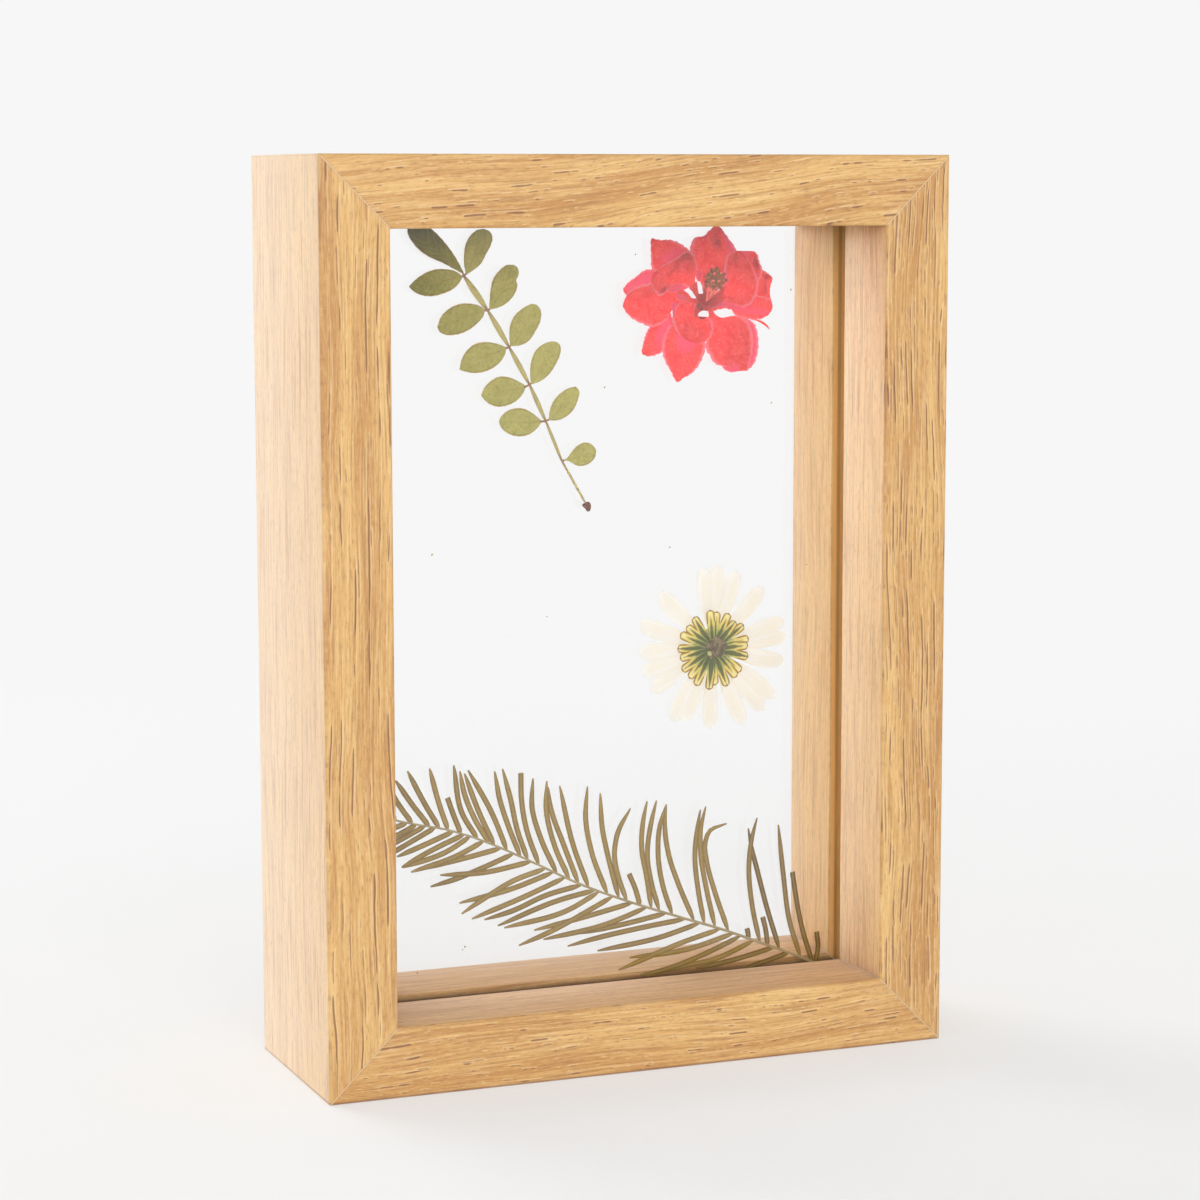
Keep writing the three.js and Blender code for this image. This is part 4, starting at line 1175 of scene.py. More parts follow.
def make_stamens():
    """Grains and threads make one piece with two finishes: the faces after the last grain wear the
    second."""
    grains, threads = crowd_of_stamens()
    anther = heart_finish("dried_anther", ANTHER_DARK, ANTHER_BROWN, 1700)
    piece = ring_mesh("pressed_stamens", grains + threads, anther)
    piece.data.materials.append(heart_finish("coral_filament", PETAL_CORAL, FILAMENT_CORAL, 1500))
    grain_faces = sum(len(ring_faces(rings, 0)) for rings in grains)
    slots = np.zeros(len(piece.data.polygons), dtype=np.int32)
    slots[grain_faces:] = 1
    piece.data.polygons.foreach_set("material_index", slots)
    stand_for(piece, "stamens")
    print(len(grains) - 1, "anthers on", THREAD_COUNT, "threads, with", len(BIT_PLACES), "broken bits")


make_stamens()

# %% [markdown]
# The pistil's stub is one fat grain, with a thin dark rim under it where the bare glass begins. The spur is
# a grain too, long and curled. The claws are sheets like the petals, but they were pressed so thin and so
# bruised that each has a tone of its own: brown at the centre, pink further out. They were grown with their
# petals, and they are one piece here because they are too small to be handled apart.

# %% The pistil, the spur and the claws
PISTIL_DARK = linear(92, 52, 50)
PISTIL_RED = linear(156, 84, 78)
STUB_LINE = ((19.8, 149.8), (20.15, 149.2), (20.8, 148.4))
RIM_LINE = ((20.1, 147), (20.8, 146.75), (21.6, 146.95))
SPUR_LINE = ((32.6, 146.3), (34, 145.8), (35.1, 145.1), (35.9, 144.3))
SPUR_RINGS = 16
CLAW_LAYER = -0.37
CLAWS = [
    ([(17.9, 152.8), (18.7, 152), (19.5, 150.9), (20.4, 150.2)],
     [(19.7, 154.2), (19.9, 152.8), (20.1, 151.7), (21.2, 150.6)], -0.45),
    ([(15.6, 150.6), (17.8, 150.2), (19.6, 149.6), (20.6, 149.2)],
     [(15.4, 152.9), (16.8, 152.4), (17.8, 151.7), (18.9, 150.7), (19.6, 150.8), (20.6, 151)], -0.35),
    ([(21, 154), (21.05, 152.9), (21, 151.6), (21.2, 149.5)],
     [(24.6, 153.4), (23.8, 152), (22.8, 150.6), (22.2, 149.4)], -0.5),
    ([(25.8, 153.6), (24.2, 152.2), (22.4, 150.6), (21.4, 150)],
     [(25.2, 149.3), (23.8, 148.8), (22.6, 148.9), (21.4, 149.1)], -0.45),
    ([(22.1, 146.8), (22.35, 147.5), (22.1, 148.1), (21.5, 149.4)],
     [(24, 147.1), (23.4, 148), (22.9, 148.9), (22.2, 149.8)], -0.2),
    ([(19.1, 147.1), (19, 148.4), (19.4, 149.6), (20.2, 150.4)],
     [(20, 147), (20.1, 147.8), (20.7, 148.2), (21.4, 148.3), (22, 148.1), (22.6, 149.4)], -0.6),
    ([(13.4, 152.2), (14.9, 152), (16.7, 152.4)], [(13.9, 153.4), (16, 153.8), (17.9, 152.9)], 0.6),
    ([(19.2, 156.4), (19.4, 155.2), (19.7, 154.2)], [(20.7, 156.4), (20.9, 155.2), (20.6, 154)], 0.45),
    ([(19.8, 151.6), (19.5, 150.6), (20, 149.6), (20.6, 149)],
     [(21.3, 151.7), (23.4, 151.4), (23.8, 150), (23.2, 148.8)], -0.8),
    ([(14.2, 150), (14.3, 148.8), (14.6, 147)], [(15.4, 149.8), (15.1, 148.6), (15.2, 147)], 0.9),
    ([(15.3, 151.3), (16.4, 150.6), (18.2, 150.3)],
     [(15.4, 151.6), (16.6, 151.5), (18.2, 150.8)], 1.2),
    ([(23.4, 148.9), (25, 149), (27, 148.9), (28.2, 148.3)],
     [(23.4, 149.7), (25.2, 150), (27, 149.6), (28.3, 148.9)], 0.9),
]


def make_pistil_and_spur():
    """Three ovals swept along short lines. The spur has no sheet to map, so its surface is all middle."""
    stub = grain_rings(STUB_LINE, 0.42, 0.07, FRONT_LAYER, rings=14)
    rim = grain_rings(RIM_LINE, 0.16, 0.05, FRONT_LAYER, rings=10)
    dried_pistil = heart_finish("dried_pistil", PISTIL_DARK, PISTIL_RED, 1500)
    pistil = ring_mesh("pressed_pistil", [stub, rim], dried_pistil)
    stand_for(pistil, "pistil")
    spur = grain_rings(SPUR_LINE, 0.24, 0.05, 0.09, rings=SPUR_RINGS)
    spur_piece = ring_mesh("pressed_spur", [spur], red_petal, [np.full((*spur.shape[:2], 2), 0.5)])
    stand_for(spur_piece, "spur")


def make_claws():
    """One sheet between each pair of edges, all in one layer, each with one even tone."""
    sheets = [sheet_rings(left, right, CLAW_LAYER, PETAL_THICKNESS, rings=14, across=9, ragged=0.04,
                          seed=number) for number, (left, right, _) in enumerate(CLAWS)]
    tones = [np.full(points.shape[:2], tone) for (points, _), (_, _, tone) in zip(sheets, CLAWS)]
    piece = ring_mesh("pressed_petal_claws", [points for points, _ in sheets], red_petal,
                      [maps for _, maps in sheets], tones)
    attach(piece, "root")
    print(len(CLAWS), "claws")


make_pistil_and_spur()
make_claws()

# %% [markdown]
# ## The daisy
# The daisy lies face down. What shows is the underside of its head: a ring of narrow bracts, green at the
# foot and yellow at their round tips, each with a thin brown outline, round the grey-brown scar of its
# stalk. The white ray petals behind it have dried so thin that they are hardly there. From behind the frame
# one sees its face, with a disc of yellow florets.

# %% The ray petals' finish
RAY_IVORY = linear(240, 239, 238)
RAY_CREAM = linear(239, 233, 217)


def ray_finish():
    """Almost white and very thin: faint lengthwise veins, a little creamier at the foot and at the rim."""
    ray = Finish("dried_white_ray")
    across, along = surface_axes(ray)
    vein_place = ray.node("ShaderNodeCombineXYZ", X=ray.maths("MULTIPLY", across, 9.0),
                          Y=ray.maths("MULTIPLY", along, 1.2))
    veins = ray.noise(vein_place.outputs[0], 1.0, detail=2)
    colour = ray.mix(ray.ramp(veins, 0.4, 0.65, 0.0, 0.8), RAY_IVORY, RAY_CREAM)
    colour = ray.mix(ray.ramp(along, 0.0, 0.45, 0.6, 0.0), colour, RAY_CREAM)
    from_middle = ray.from_middle(across)
    colour = ray.mix(ray.ramp(from_middle, 0.42, 0.5, 0.0, 0.5), colour, RAY_CREAM)
    return ray.finish(see_through(ray, colour, ray.bump(veins, 0.2, 0.00005), 0.75, roughness=0.7))


white_ray = ray_finish()
print("ray finish:", len(white_ray.node_tree.nodes), "nodes")

# %% [markdown]
# The rays run clockwise round the head, each from its foot to a tip whose place is given. They lie by turns
# in two layers. Neighbours don't cut into each other, because an edge stops where it meets the line half
# way to the next ray. Where two tips stand close together the rays are narrow, and where they stand apart
# they reach their full width.

# %% Make the ray petals
DAISY_CENTRE = np.array([23.4, 80.0])
RAY_TIPS = [(21.5, 96.5), (25, 97), (29, 95.5), (34.8, 92), (39.5, 85), (40, 81.5), (39.5, 76.5),
            (37.5, 69), (35, 66.5), (30.5, 64), (23, 63.5), (17.5, 65.5), (14.5, 65.5), (10, 72),
            (8, 76), (7.5, 80), (7.5, 86), (12, 92)]
RAY_ROOT_RADIUS = 4.4
RAY_HALF_WIDTH = 1.75
RAY_GAP = 0.04
LEAST_HALF = 0.03
RAY_DEPTHS = (0.19, 0.3)
RAY_THICKNESS = 0.09


def blade_edges(foot, tip, half_width, bend, rooms, points=14):
    """Left and right edges of a long petal. Its half width rises as a sine, stays, and rounds off at the
    tip as the root of 1 - t^7. Each edge stops at the line half way to its neighbour, whose slope is that
    side's room."""
    foot, tip = np.asarray(foot, float), np.asarray(tip, float)
    t = np.linspace(0, 1, points)[:, None]
    length = np.linalg.norm(tip - foot)
    along = (tip - foot) / length
    across = np.array([-along[1], along[0]])
    sway = bend * np.sin(math.pi * t)
    width = half_width * (0.3 + 0.7 * np.sin(math.pi / 2 * np.clip(t / 0.6, 0, 1))) * (1 - t**7) ** 0.5
    reach = RAY_ROOT_RADIUS + length * t
    left = np.minimum(width + sway, rooms[0] * reach - RAY_GAP)
    right = np.minimum(width - sway, rooms[1] * reach - RAY_GAP)
    middle = foot + (tip - foot) * t
    return middle + across * (left + LEAST_HALF), middle - across * (right + LEAST_HALF)


def make_rays():
    """Rays run clockwise. The room on each side is the tangent of half the turn to the next ray."""
    random = np.random.default_rng(7)
    bends = random.uniform(-0.3, 0.3, len(RAY_TIPS))
    out = np.array(RAY_TIPS) - DAISY_CENTRE
    turns = np.arctan2(out[:, 1], out[:, 0])
    half_turns = np.mod(np.roll(turns, 1) - turns, 2 * math.pi) / 2
    rooms = np.tan(np.stack([half_turns, np.roll(half_turns, -1)], axis=1))
    for number, tip in enumerate(RAY_TIPS, start=1):
        foot = DAISY_CENTRE + out[number - 1] / np.linalg.norm(out[number - 1]) * RAY_ROOT_RADIUS
        left, right = blade_edges(foot, tip, RAY_HALF_WIDTH, bends[number - 1], rooms[number - 1])
        depth = RAY_DEPTHS[(number - 1) % 2]
        points, maps = sheet_rings(left, right, depth, RAY_THICKNESS, rings=24, across=11)
        piece = ring_mesh(f"pressed_ray_{number:02d}", [points], white_ray, [maps])
        stand_for(piece, f"ray_{number:02d}")
    print(len(RAY_TIPS), "ray petals with", np.degrees(half_turns).round(1).tolist(), "degrees of room")


make_rays()

# %% [markdown]
# A bract is a little green leaf under the head. It is folded along its middle, and the fold's shade is
# painted as a dark keel; its thin dry rim is brown. Its tip is the yellow part, with a painted highlight in
# the middle. No two keels are equally long, so each bract gets its own tone by chance, which shortens or
# lengthens the keel.

# %% The bracts' finish
BRACT_YELLOW = linear(238, 220, 122)
BRACT_HIGHLIGHT = linear(252, 246, 198)
BRACT_GREEN = linear(168, 176, 98)
BRACT_SHADE = linear(86, 92, 48)
BRACT_OUTLINE = linear(160, 112, 34)


def bract_finish():
    """Two ramps along the bract take it from green to yellow and on to a painted highlight near its tip.
    The
    keel is the painted shade of a fold: dark where 0.6 times the place along, plus the distance from the
    middle, stays under a limit, so it narrows to a point. Near the foot the two sides are painted shade
    where the bracts overlap. Further out the outline darkens a tenth of the width at each side, and it
    darkens the very tip."""
    bract = Finish("dried_bract")
    across, along = surface_axes(bract)
    own = bract.tone()
    from_middle = bract.from_middle(across)
    speckle = bract.noise(bract.place(), 1500, detail=3, roughness=0.6)
    noisy = bract.maths("ADD", along, bract.maths("MULTIPLY", bract.maths("SUBTRACT", speckle, 0.5), 0.3))
    colour = bract.mix(bract.ramp(noisy, 0.28, 0.6), BRACT_GREEN, BRACT_YELLOW)
    near_tip = bract.ramp(noisy, 0.66, 0.82)
    # Painted highlight: a pale spot in the middle near the tip.
    tip_highlight = bract.maths("MULTIPLY", bract.ramp(from_middle, 0.1, 0.3, 0.7, 0.0), near_tip)
    colour = bract.mix(tip_highlight, colour, BRACT_HIGHLIGHT)
    # Painted shade of the fold along the middle, narrowing towards the tip.
    keel_shade_edge = bract.maths("MULTIPLY_ADD", bract.maths("ADD", noisy, own), 0.6, from_middle)
    colour = bract.mix(bract.ramp(keel_shade_edge, 0.42, 0.6, 0.9, 0.0), colour, BRACT_SHADE)
    outer = bract.ramp(noisy, 0.5, 0.7)
    side_share = bract.maths("MULTIPLY", bract.ramp(from_middle, 0.3, 0.4, 0.0, 0.95), outer)
    colour = bract.mix(side_share, colour, BRACT_OUTLINE)
    # Painted shade where neighbouring bracts overlap near the foot.
    near_foot = bract.ramp(noisy, 0.6, 0.4)
    crease_shade = bract.maths("MULTIPLY", bract.ramp(from_middle, 0.42, 0.49, 0.0, 0.8), near_foot)
    colour = bract.mix(crease_shade, colour, BRACT_SHADE)
    colour = bract.mix(bract.ramp(along, 0.885, 0.925, 0.0, 0.95), colour, BRACT_OUTLINE)
    return bract.finish(see_through(bract, colour, bract.bump(speckle, 0.4, 0.00008), 0.2, roughness=0.7))


dried_bract = bract_finish()
print("bract finish:", len(dried_bract.node_tree.nodes), "nodes")

# %% [markdown]
# The bracts lie in three layers that overlap by turns, and the scar of the stalk lies on their feet, with
# one pale spot beside its middle. On the other side, towards the back of the frame, the florets stand in
# four rings on a flat yellow disc.

# %% Make the head with its bracts and florets
SCAR_GREY = linear(160, 140, 106)
SCAR_DARK = linear(100, 88, 62)
SCAR_SPOT = linear(214, 210, 160)
FLORET_YELLOW = linear(226, 176, 60)
BRACT_TIPS = [(22.7, 88), (24.3, 87.6), (27, 87.1), (28.4, 85.4), (30.3, 84.6), (31.5, 81.7),
              (31.2, 80.3), (31.3, 77.9), (29.8, 75), (28.7, 73.9), (26.6, 72.1), (23.9, 72.4),
              (22.5, 71.6), (19.6, 72.6), (18.2, 74.2), (16.5, 75.9), (16.1, 78.4), (15.6, 80.4),
              (16.1, 83.4), (17.6, 84.9), (19.2, 86.7)]
BRACT_HALF_WIDTH = 0.9
BRACT_ROOT_RADIUS = 0.8
BRACT_DEPTHS = (-0.4, -0.28, -0.16)
BRACT_THICKNESS = 0.1
SCAR_CENTRE = (24.1, 80.2)
SCAR_RADIUS = 2.2
SCAR_DEPTH = -0.47
SPOT_CENTRE = (22.6, 79.1)
SPOT_RADIUS = 0.5
SPOT_DEPTH = -0.5
DISC_RADIUS = 4.3
DISC_DEPTH = 0.02
FLORET_RADIUS = 0.42
FLORET_DEPTH = 0.44
FLORET_RINGS = ((0.9, 6), (1.8, 11), (2.7, 16), (3.5, 21))


def bract_edges(tip):
    """A finger of even width, narrower at its foot. Its tip is half a circle: the width there is the root
    of 1 - (1 - g)^2, where g is the distance to the tip in half widths."""
    out = np.array(tip) - DAISY_CENTRE
    length = np.linalg.norm(out)
    along = out / length
    across = np.array([-along[1], along[0]])
    t = np.linspace(0, 1, 16)
    reach = BRACT_ROOT_RADIUS + (length - BRACT_ROOT_RADIUS) * t
    tip_gap = np.clip((length - reach) / BRACT_HALF_WIDTH, 0, 1)
    width = BRACT_HALF_WIDTH * np.minimum(0.45 + 0.9 * t, 1) * np.sqrt(1 - (1 - tip_gap) ** 2)
    middle = DAISY_CENTRE + along * reach[:, None]
    return middle + across * (width + 0.02)[:, None], middle - across * (width + 0.02)[:, None]


def make_bracts():
    """All bracts are one mesh, each with its own even tone."""
    stacks, maps, tones = [], [], []
    random = np.random.default_rng(13)
    for number, tip in enumerate(BRACT_TIPS):
        left, right = bract_edges(tip)
        depth = BRACT_DEPTHS[number % len(BRACT_DEPTHS)]
        points, surface = sheet_rings(left, right, depth, BRACT_THICKNESS, rings=26, across=11)
        stacks.append(points)
        maps.append(surface)
        tones.append(np.full(points.shape[:2], random.uniform(-0.16, 0.16)))
    piece = ring_mesh("pressed_daisy_bracts", stacks, dried_bract, maps, tones)
    stand_for(piece, "daisy_head")
    print(len(BRACT_TIPS), "bracts")


def add_to_head(name, stacks, finish):
    """A small piece that was grown with the head and is only modelled here: it rides with the frame."""
    piece = ring_mesh(name, stacks, finish)
    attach(piece, "root")


def make_scar_and_florets():
    """The scar and its spot are buns. The florets are small buns, evenly spaced round four circles; in a
    ring with an odd count they start half a step on."""
    add_to_head("daisy_stalk_scar", [disc_rings(SCAR_CENTRE, SCAR_RADIUS, SCAR_DEPTH, 0.05, bumps=0.13)],
                heart_finish("stalk_scar", SCAR_DARK, SCAR_GREY, 1100))
    add_to_head("daisy_scar_spot", [disc_rings(SPOT_CENTRE, SPOT_RADIUS, SPOT_DEPTH, 0.03, sides=16)],
                heart_finish("scar_spot", BRACT_GREEN, SCAR_SPOT, 1600))
    florets = [disc_rings(DAISY_CENTRE, DISC_RADIUS, DISC_DEPTH, 0.07)]
    for radius, count in FLORET_RINGS:
        for k in range(count):
            angle = 2 * math.pi * (k + 0.5 * (count % 2)) / count
            centre = DAISY_CENTRE + radius * np.array([math.cos(angle), math.sin(angle)])
            florets.append(disc_rings(centre, FLORET_RADIUS, FLORET_DEPTH, 0.09, sides=8))
    add_to_head("daisy_florets", florets, heart_finish("floret_yellow", FLORET_YELLOW, BRACT_YELLOW, 1900))
    print(len(florets) - 1, "florets")


make_bracts()
make_scar_and_florets()

# %% [markdown]
# ## The frond
# A long frond of narrow needles lies along the foot of the glass. Its midrib sags from the upper left to
# the lower right, with over thirty needles on each side, all swept back towards its tip. Each needle is a
# thin oval carried along a smooth line through the points where it bends. The midrib is one more oval,
# greyer and paler.

# %% Needle finish
NEEDLE_KHAKI = linear(167, 139, 70)
NEEDLE_DARK = linear(116, 90, 40)
NEEDLE_PALE = linear(196, 174, 112)
MIDRIB_GREY = linear(182, 168, 130)


def needle_finish():
    """Khaki needles. A tone from 0 to 1 takes a needle from dark to pale; the midrib's is past 1, which
    turns it grey. Along each needle's middle runs a paler line, and its two edges are darker."""
    needle = Finish("dried_needle")
    tone = needle.tone()
    fibre = needle.noise(needle.place(), 1400, detail=3, roughness=0.6)
    colour = needle.mix(needle.ramp(tone, 0.0, 0.5), NEEDLE_DARK, NEEDLE_KHAKI)
    colour = needle.mix(needle.ramp(tone, 0.5, 1.0), colour, NEEDLE_PALE)
    colour = needle.mix(needle.ramp(fibre, 0.35, 0.7, 0.25, 0.0), colour, NEEDLE_DARK)
    across, _ = surface_axes(needle)
    from_middle = needle.from_middle(across)
    colour = needle.mix(needle.ramp(from_middle, 0.05, 0.25, 0.35, 0.0), colour, NEEDLE_PALE)
    colour = needle.mix(needle.ramp(from_middle, 0.3, 0.45, 0.0, 0.45), colour, NEEDLE_DARK)
    colour = needle.mix(needle.ramp(tone, 1.0, 1.5, 0.0, 0.8), colour, MIDRIB_GREY)
    return needle.finish(see_through(needle, colour, needle.bump(fibre, 0.35, 0.00006), 0.25))


dried_needle = needle_finish()
print("needle finish:", len(dried_needle.node_tree.nodes), "nodes")

# %% [markdown]
# A needle's route is three to six points from its foot to its tip, in mm across and up. The needles cross
# one another in places, and some curl, so the routes are given one by one, in their order along the midrib.
# Those that were snapped off end squarely. Towards the cut end, at the lower right, the needles dried
# darker.

# %% Make the frond
MIDRIB = [(-53.2, 53), (-48, 51), (-44, 49.6), (-40, 48.5), (-36.3, 47.7), (-31, 46.1), (-24, 43.2),
          (-16, 39.2), (-5, 33.5), (4, 29.7), (16, 25.2), (25, 22), (36, 17.5), (42.7, 14.7),
          (47.5, 12.4)]
UPPER_NEEDLES = [
    [(-47.5, 50.9), (-49.4, 53.4), (-50.9, 56)],
    [(-44.3, 49.8), (-47, 53.4), (-49, 57.2)],
    [(-40.8, 49), (-44.3, 53.8), (-46.6, 58.4)],
    [(-37.2, 48.2), (-40.5, 52), (-44.3, 57.6)],
    [(-35, 47.9), (-38, 52), (-41.8, 59.3)],
    [(-33.2, 47.6), (-35.2, 52), (-37.2, 59.5)],
    [(-30.7, 46.7), (-32.4, 50), (-33.6, 53.4)],
    [(-27, 45), (-30.5, 50), (-32.2, 59.8)],
    [(-24.7, 43.6), (-28, 49), (-30, 54), (-30.9, 58.5)],
    [(-23.6, 43.5), (-27, 50), (-30, 58)],
    [(-20.8, 42.4), (-24.2, 49.5), (-29.2, 58.6)],
    [(-17.9, 40.8), (-20.5, 46), (-22.5, 52), (-23.6, 58)],
    [(-16.5, 40), (-19, 46), (-20.3, 52), (-22, 58.4)],
    [(-13.9, 38.8), (-17, 46), (-18, 52), (-18.1, 57.3)],
    [(-10.2, 36.9), (-14, 44), (-15.7, 50), (-15.5, 56)],
    [(-7.6, 35.3), (-11, 42), (-12.8, 50), (-12.6, 55.3)],
    [(-5.7, 34.4), (-9, 42), (-11.8, 50), (-12.3, 54)],
    [(-3.3, 33.4), (-7, 42), (-9.8, 54.1)],
    [(0.7, 31.6), (-3, 40), (-4.3, 47), (-3.9, 53.6)],
    [(3.2, 30.8), (0.8, 38), (-0.7, 45), (-1.1, 52)],
    [(5, 30), (3, 34), (2, 39), (2.7, 43.5), (5.5, 48.4)],
    [(8, 29.3), (6.4, 32), (5.1, 35)],
    [(10.5, 28.3), (9, 34), (7.9, 40), (8.3, 46), (9.1, 49.6)],
    [(12.2, 27.5), (10, 33), (9.2, 38), (10, 45), (11.2, 49.6)],
    [(14.9, 26.6), (12.5, 32), (11.5, 38), (11.8, 44), (13.3, 48.7)],
    [(19.9, 24.6), (16, 32), (13.9, 38), (13, 44), (13.3, 48.6)],
    [(22.2, 23.9), (20.5, 30), (19.7, 38), (20.2, 43), (20.9, 47)],
    [(24.4, 22.9), (22.3, 30), (20.9, 38), (20.9, 43), (22, 47.6)],
    [(27.3, 21.6), (24, 30), (22.3, 36), (21.9, 40), (22.8, 42.3), (26.7, 43.7)],
    [(31.9, 19.8), (31.6, 20.6), (31.4, 21.4)],
    [(34.7, 18.9), (32.5, 26), (31.7, 34), (32.3, 40), (33.5, 44.4)],
    [(36.4, 18.1), (35.6, 20.8), (34.9, 23.5)],
    [(39.2, 17.1), (36, 25), (33.5, 34), (32.4, 38), (31.6, 42.3)],
    [(43.9, 14.7), (41, 22), (39.5, 32), (38.3, 42.6)],
    [(46.5, 13.5), (44, 20), (42.3, 28), (41.6, 32.4)],
    [(47.3, 13), (47.6, 16), (47.3, 19.3)],
]
LOWER_NEEDLES = [
    [(-47.6, 50.8), (-50.4, 50.5), (-53.2, 49.8)],
    [(-44.6, 49.7), (-48, 49.1), (-51.8, 48)],
    [(-42, 48.9), (-45.5, 47.9), (-50.4, 46.6)],
    [(-40, 48.4), (-44.3, 46.6), (-49.5, 44.9)],
    [(-38.2, 47.9), (-44.3, 45.3), (-48.6, 43.5)],
    [(-36.2, 47.5), (-44.3, 43.6), (-46.8, 42.4)],
    [(-32.6, 46.3), (-38, 44.5), (-44.2, 42.4)],
    [(-30.2, 45.6), (-36, 43.5), (-43.2, 40.2)],
    [(-28.8, 45), (-33.5, 42.7), (-43, 40.1)],
    [(-26.2, 43.9), (-32, 41.5), (-41.3, 39.1)],
    [(-22.4, 42.2), (-30, 41), (-40.5, 39.4)],
    [(-19.8, 40.9), (-26, 38.8), (-32, 36.9), (-37.2, 35.8)],
    [(-16.1, 38.9), (-26, 37.8), (-35.2, 38)],
    [(-12.9, 37.4), (-20, 35.5), (-26, 32.5), (-30.8, 29.8)],
    [(-11.3, 36.5), (-20, 34), (-31.2, 32)],
    [(-9, 35.2), (-18, 32), (-28.7, 28.6)],
    [(-5.2, 33.4), (-13, 32), (-20, 29.5), (-26, 28.2)],
    [(-2.2, 32.1), (-10, 30.8), (-23.1, 26.7)],
    [(-1.4, 31.7), (-8, 28.7), (-21.8, 26.2)],
    [(1.6, 30.6), (-4, 28), (-12, 24.5), (-18.7, 22.3)],
    [(5.9, 28.9), (-5, 26.8), (-15.4, 25.1)],
    [(9, 27.7), (0, 25), (-13.5, 23.1)],
    [(13.3, 26.2), (4, 24.7), (-6, 23.6)],
    [(17.8, 24.5), (8, 23.6), (-2, 22.3), (-8.2, 21.2)],
    [(20.7, 23.4), (12, 21.3), (-1.8, 19.7)],
    [(25.4, 21.8), (16, 19.5), (7, 16.6), (2.8, 15.3)],
    [(28.6, 20.6), (18, 18.2), (5.2, 17.6)],
    [(30, 20), (22, 17), (13, 14.5), (7.5, 13.8)],
    [(33, 18.7), (24, 15.6), (16, 14.7), (9, 13.5)],
    [(37.5, 16.9), (28, 15), (20, 14)],
    [(40.8, 15.5), (35, 14), (31, 13.2)],
]
SNAPPED_NEEDLES = {6, 13, 21, 29, 31, 34, 35}
NEEDLE_HALF_WIDTH = 0.56
NEEDLE_HALF_THICKNESS = 0.07
NEEDLE_RINGS = 22
NEEDLE_SIDES = 8
NEEDLE_LAYER = 0.09
MIDRIB_RINGS = 90
MIDRIB_HALF_THICKNESS = 0.12
MIDRIB_DEPTH = -0.06
MIDRIB_TONE = 1.5
DARKER_END = 0.3
DARKER_FROM = 24
DARKER_OVER = 20


def make_frond():
    """A needle's width rises from its foot as a sine over the first tenth, holds, and falls off by a
    square to a blunt point, or ends squarely where it snapped. The needles lie by turns in three
    layers."""
    random = np.random.default_rng(11)
    rib = smooth_line(MIDRIB, 400)
    t = np.linspace(0, 1, NEEDLE_RINGS)
    foot_part = 0.25 + 0.75 * np.sin(math.pi / 2 * np.clip(t / 0.1, 0, 1))
    pointed = foot_part * (1 - 0.72 * np.clip((t - 0.72) / 0.28, 0, 1) ** 2)
    around = 0.5 + 0.5 * np.cos(np.arange(NEEDLE_SIDES) * 2 * math.pi / NEEDLE_SIDES)
    stacks, maps, tones = [], [], []
    for number, route in enumerate(UPPER_NEEDLES + LOWER_NEEDLES):
        profile = foot_part if number in SNAPPED_NEEDLES else pointed
        foot = rib[np.argmin(np.linalg.norm(rib - np.array(route[0]), axis=1))]
        line = smooth_line([foot, *route[1:]], NEEDLE_RINGS)
        depth = NEEDLE_LAYER * (number % 3 - 1)
        thickness = NEEDLE_HALF_THICKNESS * (0.4 + 0.6 * profile)
        rings = oval_rings(line, NEEDLE_HALF_WIDTH * profile, thickness, depth, sides=NEEDLE_SIDES)
        stacks.append(rings)
        maps.append(np.stack(np.broadcast_arrays(around[None, :], t[:, None]), axis=-1))
        own = random.uniform(0.42, 0.7) - DARKER_END * np.clip((foot[0] - DARKER_FROM) / DARKER_OVER, 0, 1)
        tones.append(np.broadcast_to(own - 0.15 * t[:, None], rings.shape[:2]))
    line = smooth_line(MIDRIB, MIDRIB_RINGS)
    share = np.linspace(0, 1, MIDRIB_RINGS)
    thickness = np.full(MIDRIB_RINGS, MIDRIB_HALF_THICKNESS)
    stacks.append(oval_rings(line, 0.18 + 0.12 * share, thickness, MIDRIB_DEPTH, sides=NEEDLE_SIDES))
    maps.append(np.stack(np.broadcast_arrays(around[None, :], share[:, None]), axis=-1))
    tones.append(np.full((MIDRIB_RINGS, NEEDLE_SIDES), MIDRIB_TONE))
    piece = ring_mesh("pressed_frond", stacks, dried_needle, maps, tones)
    stand_for(piece, "frond")
    print(len(stacks) - 1, "needles,", len(piece.data.polygons), "faces")


make_frond()

# %% [markdown]
# A few crumbs of dried plant were shut in with the pressing. Each is a tiny flat grain on the inner face of
# the front pane.

# %% Shut in a few crumbs
CRUMBS = [(36.1, 129.5), (6.4, 159.6), (-0.2, 133.5), (40.3, 152.2), (-30.3, 23.2), (-30.8, 22.6),
          (-40.3, 18.8), (13.8, 101.1), (44.2, 96.3), (-12.6, 88.4), (-36.5, 101.8)]
CRUMB_HALF_WIDTHS = (0.12, 0.2)
CRUMB_HALF_THICKNESS = 0.04


def make_crumbs():
    """Each crumb is an oval grain, its length about twice its width, turned its own way."""
    random = np.random.default_rng(3)
    turns = random.uniform(0, math.pi, len(CRUMBS))
    sizes = random.uniform(*CRUMB_HALF_WIDTHS, len(CRUMBS))
    arms = sizes[:, None] * np.stack([np.cos(turns), np.sin(turns)], 1)
    grains = [grain_rings((place - arm, place + arm), size, CRUMB_HALF_THICKNESS, FRONT_LAYER, rings=7)
              for place, arm, size in zip(np.array(CRUMBS), arms, sizes)]
    crumbs = ring_mesh("plant_crumbs", grains, heart_finish("plant_crumb", NEEDLE_KHAKI, NEEDLE_PALE, 2600))
    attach(crumbs, "root")
    print(len(grains), "crumbs")


make_crumbs()
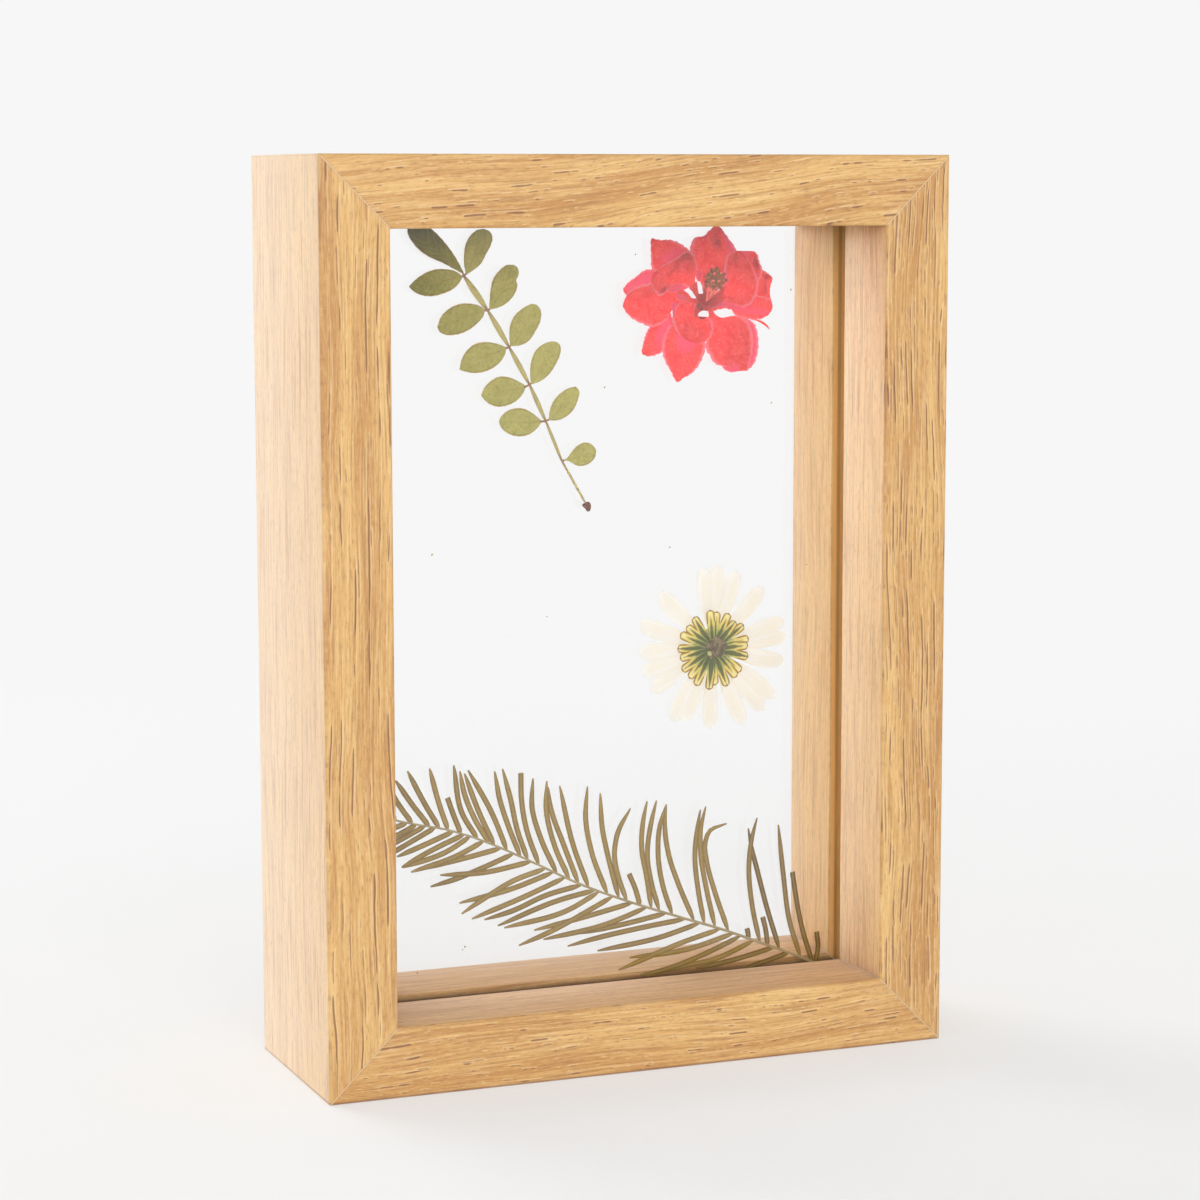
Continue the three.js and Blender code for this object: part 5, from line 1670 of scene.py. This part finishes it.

# %% [markdown]
# ## Floor, backdrop and light
# The frame stands on a pale sweep in soft, even daylight, with one broad light from the left and a little
# behind. The sweep is a dish: flat under the object, then curving up into a wall all round, so no horizon
# shows from any side. Near the object its surface catches the soft shadow, which part of the glow paints
# lighter. Further out it glows evenly, like a lit wall.

# %% Make the sweep
SWEEP_RADIUS = 2.2
SWEEP_FLAT = 1.5
SWEEP_HEIGHT = 2.6
SWEEP_SIDES = 96
BEND_POINTS = 12
FLOOR_WHITE = (0.88, 0.88, 0.88, 1.0)
BACKDROP_LIGHT = 0.93


def sweep_finish():
    """Matt white mixed with a steady glow, which paints the shadow lighter near the object; the glow's
    share rises from 0.45 to all between 15 and 60 cm from it.
    """
    sweep = Finish("pale_sweep")
    reach = sweep.node("ShaderNodeVectorMath", {"operation": "LENGTH"})
    sweep.feed(reach.inputs[0], sweep.place())
    floor = sweep.node("ShaderNodeBsdfDiffuse", Color=FLOOR_WHITE)
    glow = sweep.node("ShaderNodeEmission", Color=(1.0, 1.0, 1.0, 1.0), Strength=BACKDROP_LIGHT)
    # Painted light: near the object the floor also glows at 0.45, which lightens its shadow.
    both = sweep.node("ShaderNodeMixShader", Fac=sweep.ramp(reach.outputs["Value"], 0.15, 0.6, 0.45, 1.0))
    sweep.tree.links.new(floor.outputs[0], both.inputs[1])
    sweep.tree.links.new(glow.outputs[0], both.inputs[2])
    return sweep.finish(both.outputs[0])


def make_sweep():
    """A dish of revolution. Its profile runs out along the floor, round a quarter circle and straight up,
    and is turned round the Z axis. Its faces look inwards, towards the object."""
    bend = SWEEP_RADIUS - SWEEP_FLAT
    angle = np.linspace(0, math.pi / 2, BEND_POINTS)
    flat = np.array([0.001, 0.1, 0.3, 0.6, 1.0, SWEEP_FLAT])
    radius = np.concatenate([flat, SWEEP_FLAT + bend * np.sin(angle[1:]), [SWEEP_RADIUS]])
    height = np.concatenate([np.zeros(len(flat)), bend * (1 - np.cos(angle[1:])), [SWEEP_HEIGHT]])
    turn = np.linspace(0, 2 * math.pi, SWEEP_SIDES, endpoint=False)
    rings = np.stack([
        radius[:, None] * np.cos(turn),
        radius[:, None] * np.sin(turn),
        np.broadcast_to(height[:, None], (len(height), len(turn))),
    ], axis=-1)
    count, around = rings.shape[:2]
    index = np.arange(count * around).reshape(count, around)
    beside = np.roll(index, -1, axis=1)
    faces = np.stack([index[:-1], index[1:], beside[1:], beside[:-1]], axis=-1).reshape(-1, 4).tolist()
    faces.append(index[0][::-1].tolist())
    mesh = bpy.data.meshes.new("sweep")
    mesh.from_pydata(rings.reshape(-1, 3).tolist(), [], faces)
    mesh.polygons.foreach_set("use_smooth", np.ones(len(mesh.polygons), dtype=bool))
    mesh.materials.append(sweep_finish())
    sweep = bpy.data.objects.new("sweep", mesh)
    scene.collection.objects.link(sweep)
    print("sweep:", 2 * SWEEP_RADIUS, "m across,", len(mesh.polygons), "faces")


make_sweep()

# %% [markdown]
# The daylight is one broad window behind the frame at the left, which throws the soft shadow forward and to
# the right. A second light in front fills the dark side. The panes' outer faces don't mirror the window,
# because its square would lie across the plants. The inner faces still do, so that it shows as a pale band
# from some places behind the frame. The world gives the rest, a dim even sky.

# %% Light the scene
CEILING_LIGHT = 0.4
WINDOW_PLACE = (-0.75, 1.6, 0.5)
WINDOW_SIZE = 1.2
WINDOW_POWER = 28
FILL_PLACE = (-0.4, -2.0, 0.5)
FILL_SIZE = 1.4
FILL_POWER = 27
LIGHTS_AIM = (0, 0, 0.09)


def soft_light(name, place, size, power, mirrored):
    """A square soft light at a place, turned so that its -Z points at the middle of the frame. The camera
    doesn't see its shape directly. A light that isn't mirrored is hidden from rays that bounce off a face,
    but not from those that come out of the glass, because they carry its light to the plants."""
    data = bpy.data.lights.new(name, "AREA")
    data.size = size
    data.energy = power
    light = bpy.data.objects.new(name, data)
    light.location = place
    light.visible_camera = False
    light.visible_glossy = mirrored
    light.rotation_euler = (Vector(LIGHTS_AIM) - Vector(place)).to_track_quat("-Z", "Y").to_euler()
    scene.collection.objects.link(light)


def light_scene():
    """A dim even sky, one broad light from behind at the left, and a weaker one in front."""
    world = bpy.data.worlds.new("daylight")
    world.use_nodes = True
    sky = world.node_tree.nodes["Background"]
    sky.inputs["Color"].default_value = (1.0, 1.0, 1.0, 1.0)
    sky.inputs["Strength"].default_value = CEILING_LIGHT
    scene.world = world
    soft_light("window", WINDOW_PLACE, WINDOW_SIZE, WINDOW_POWER, mirrored=False)
    soft_light("fill", FILL_PLACE, FILL_SIZE, FILL_POWER, mirrored=True)
    scene.view_settings.view_transform = "Standard"
    scene.cycles.blur_glossy = 0.0  # else the clear panes act as frosted ones for light that has bounced


light_scene()
print("window", WINDOW_POWER, "W and fill", FILL_POWER, "W")
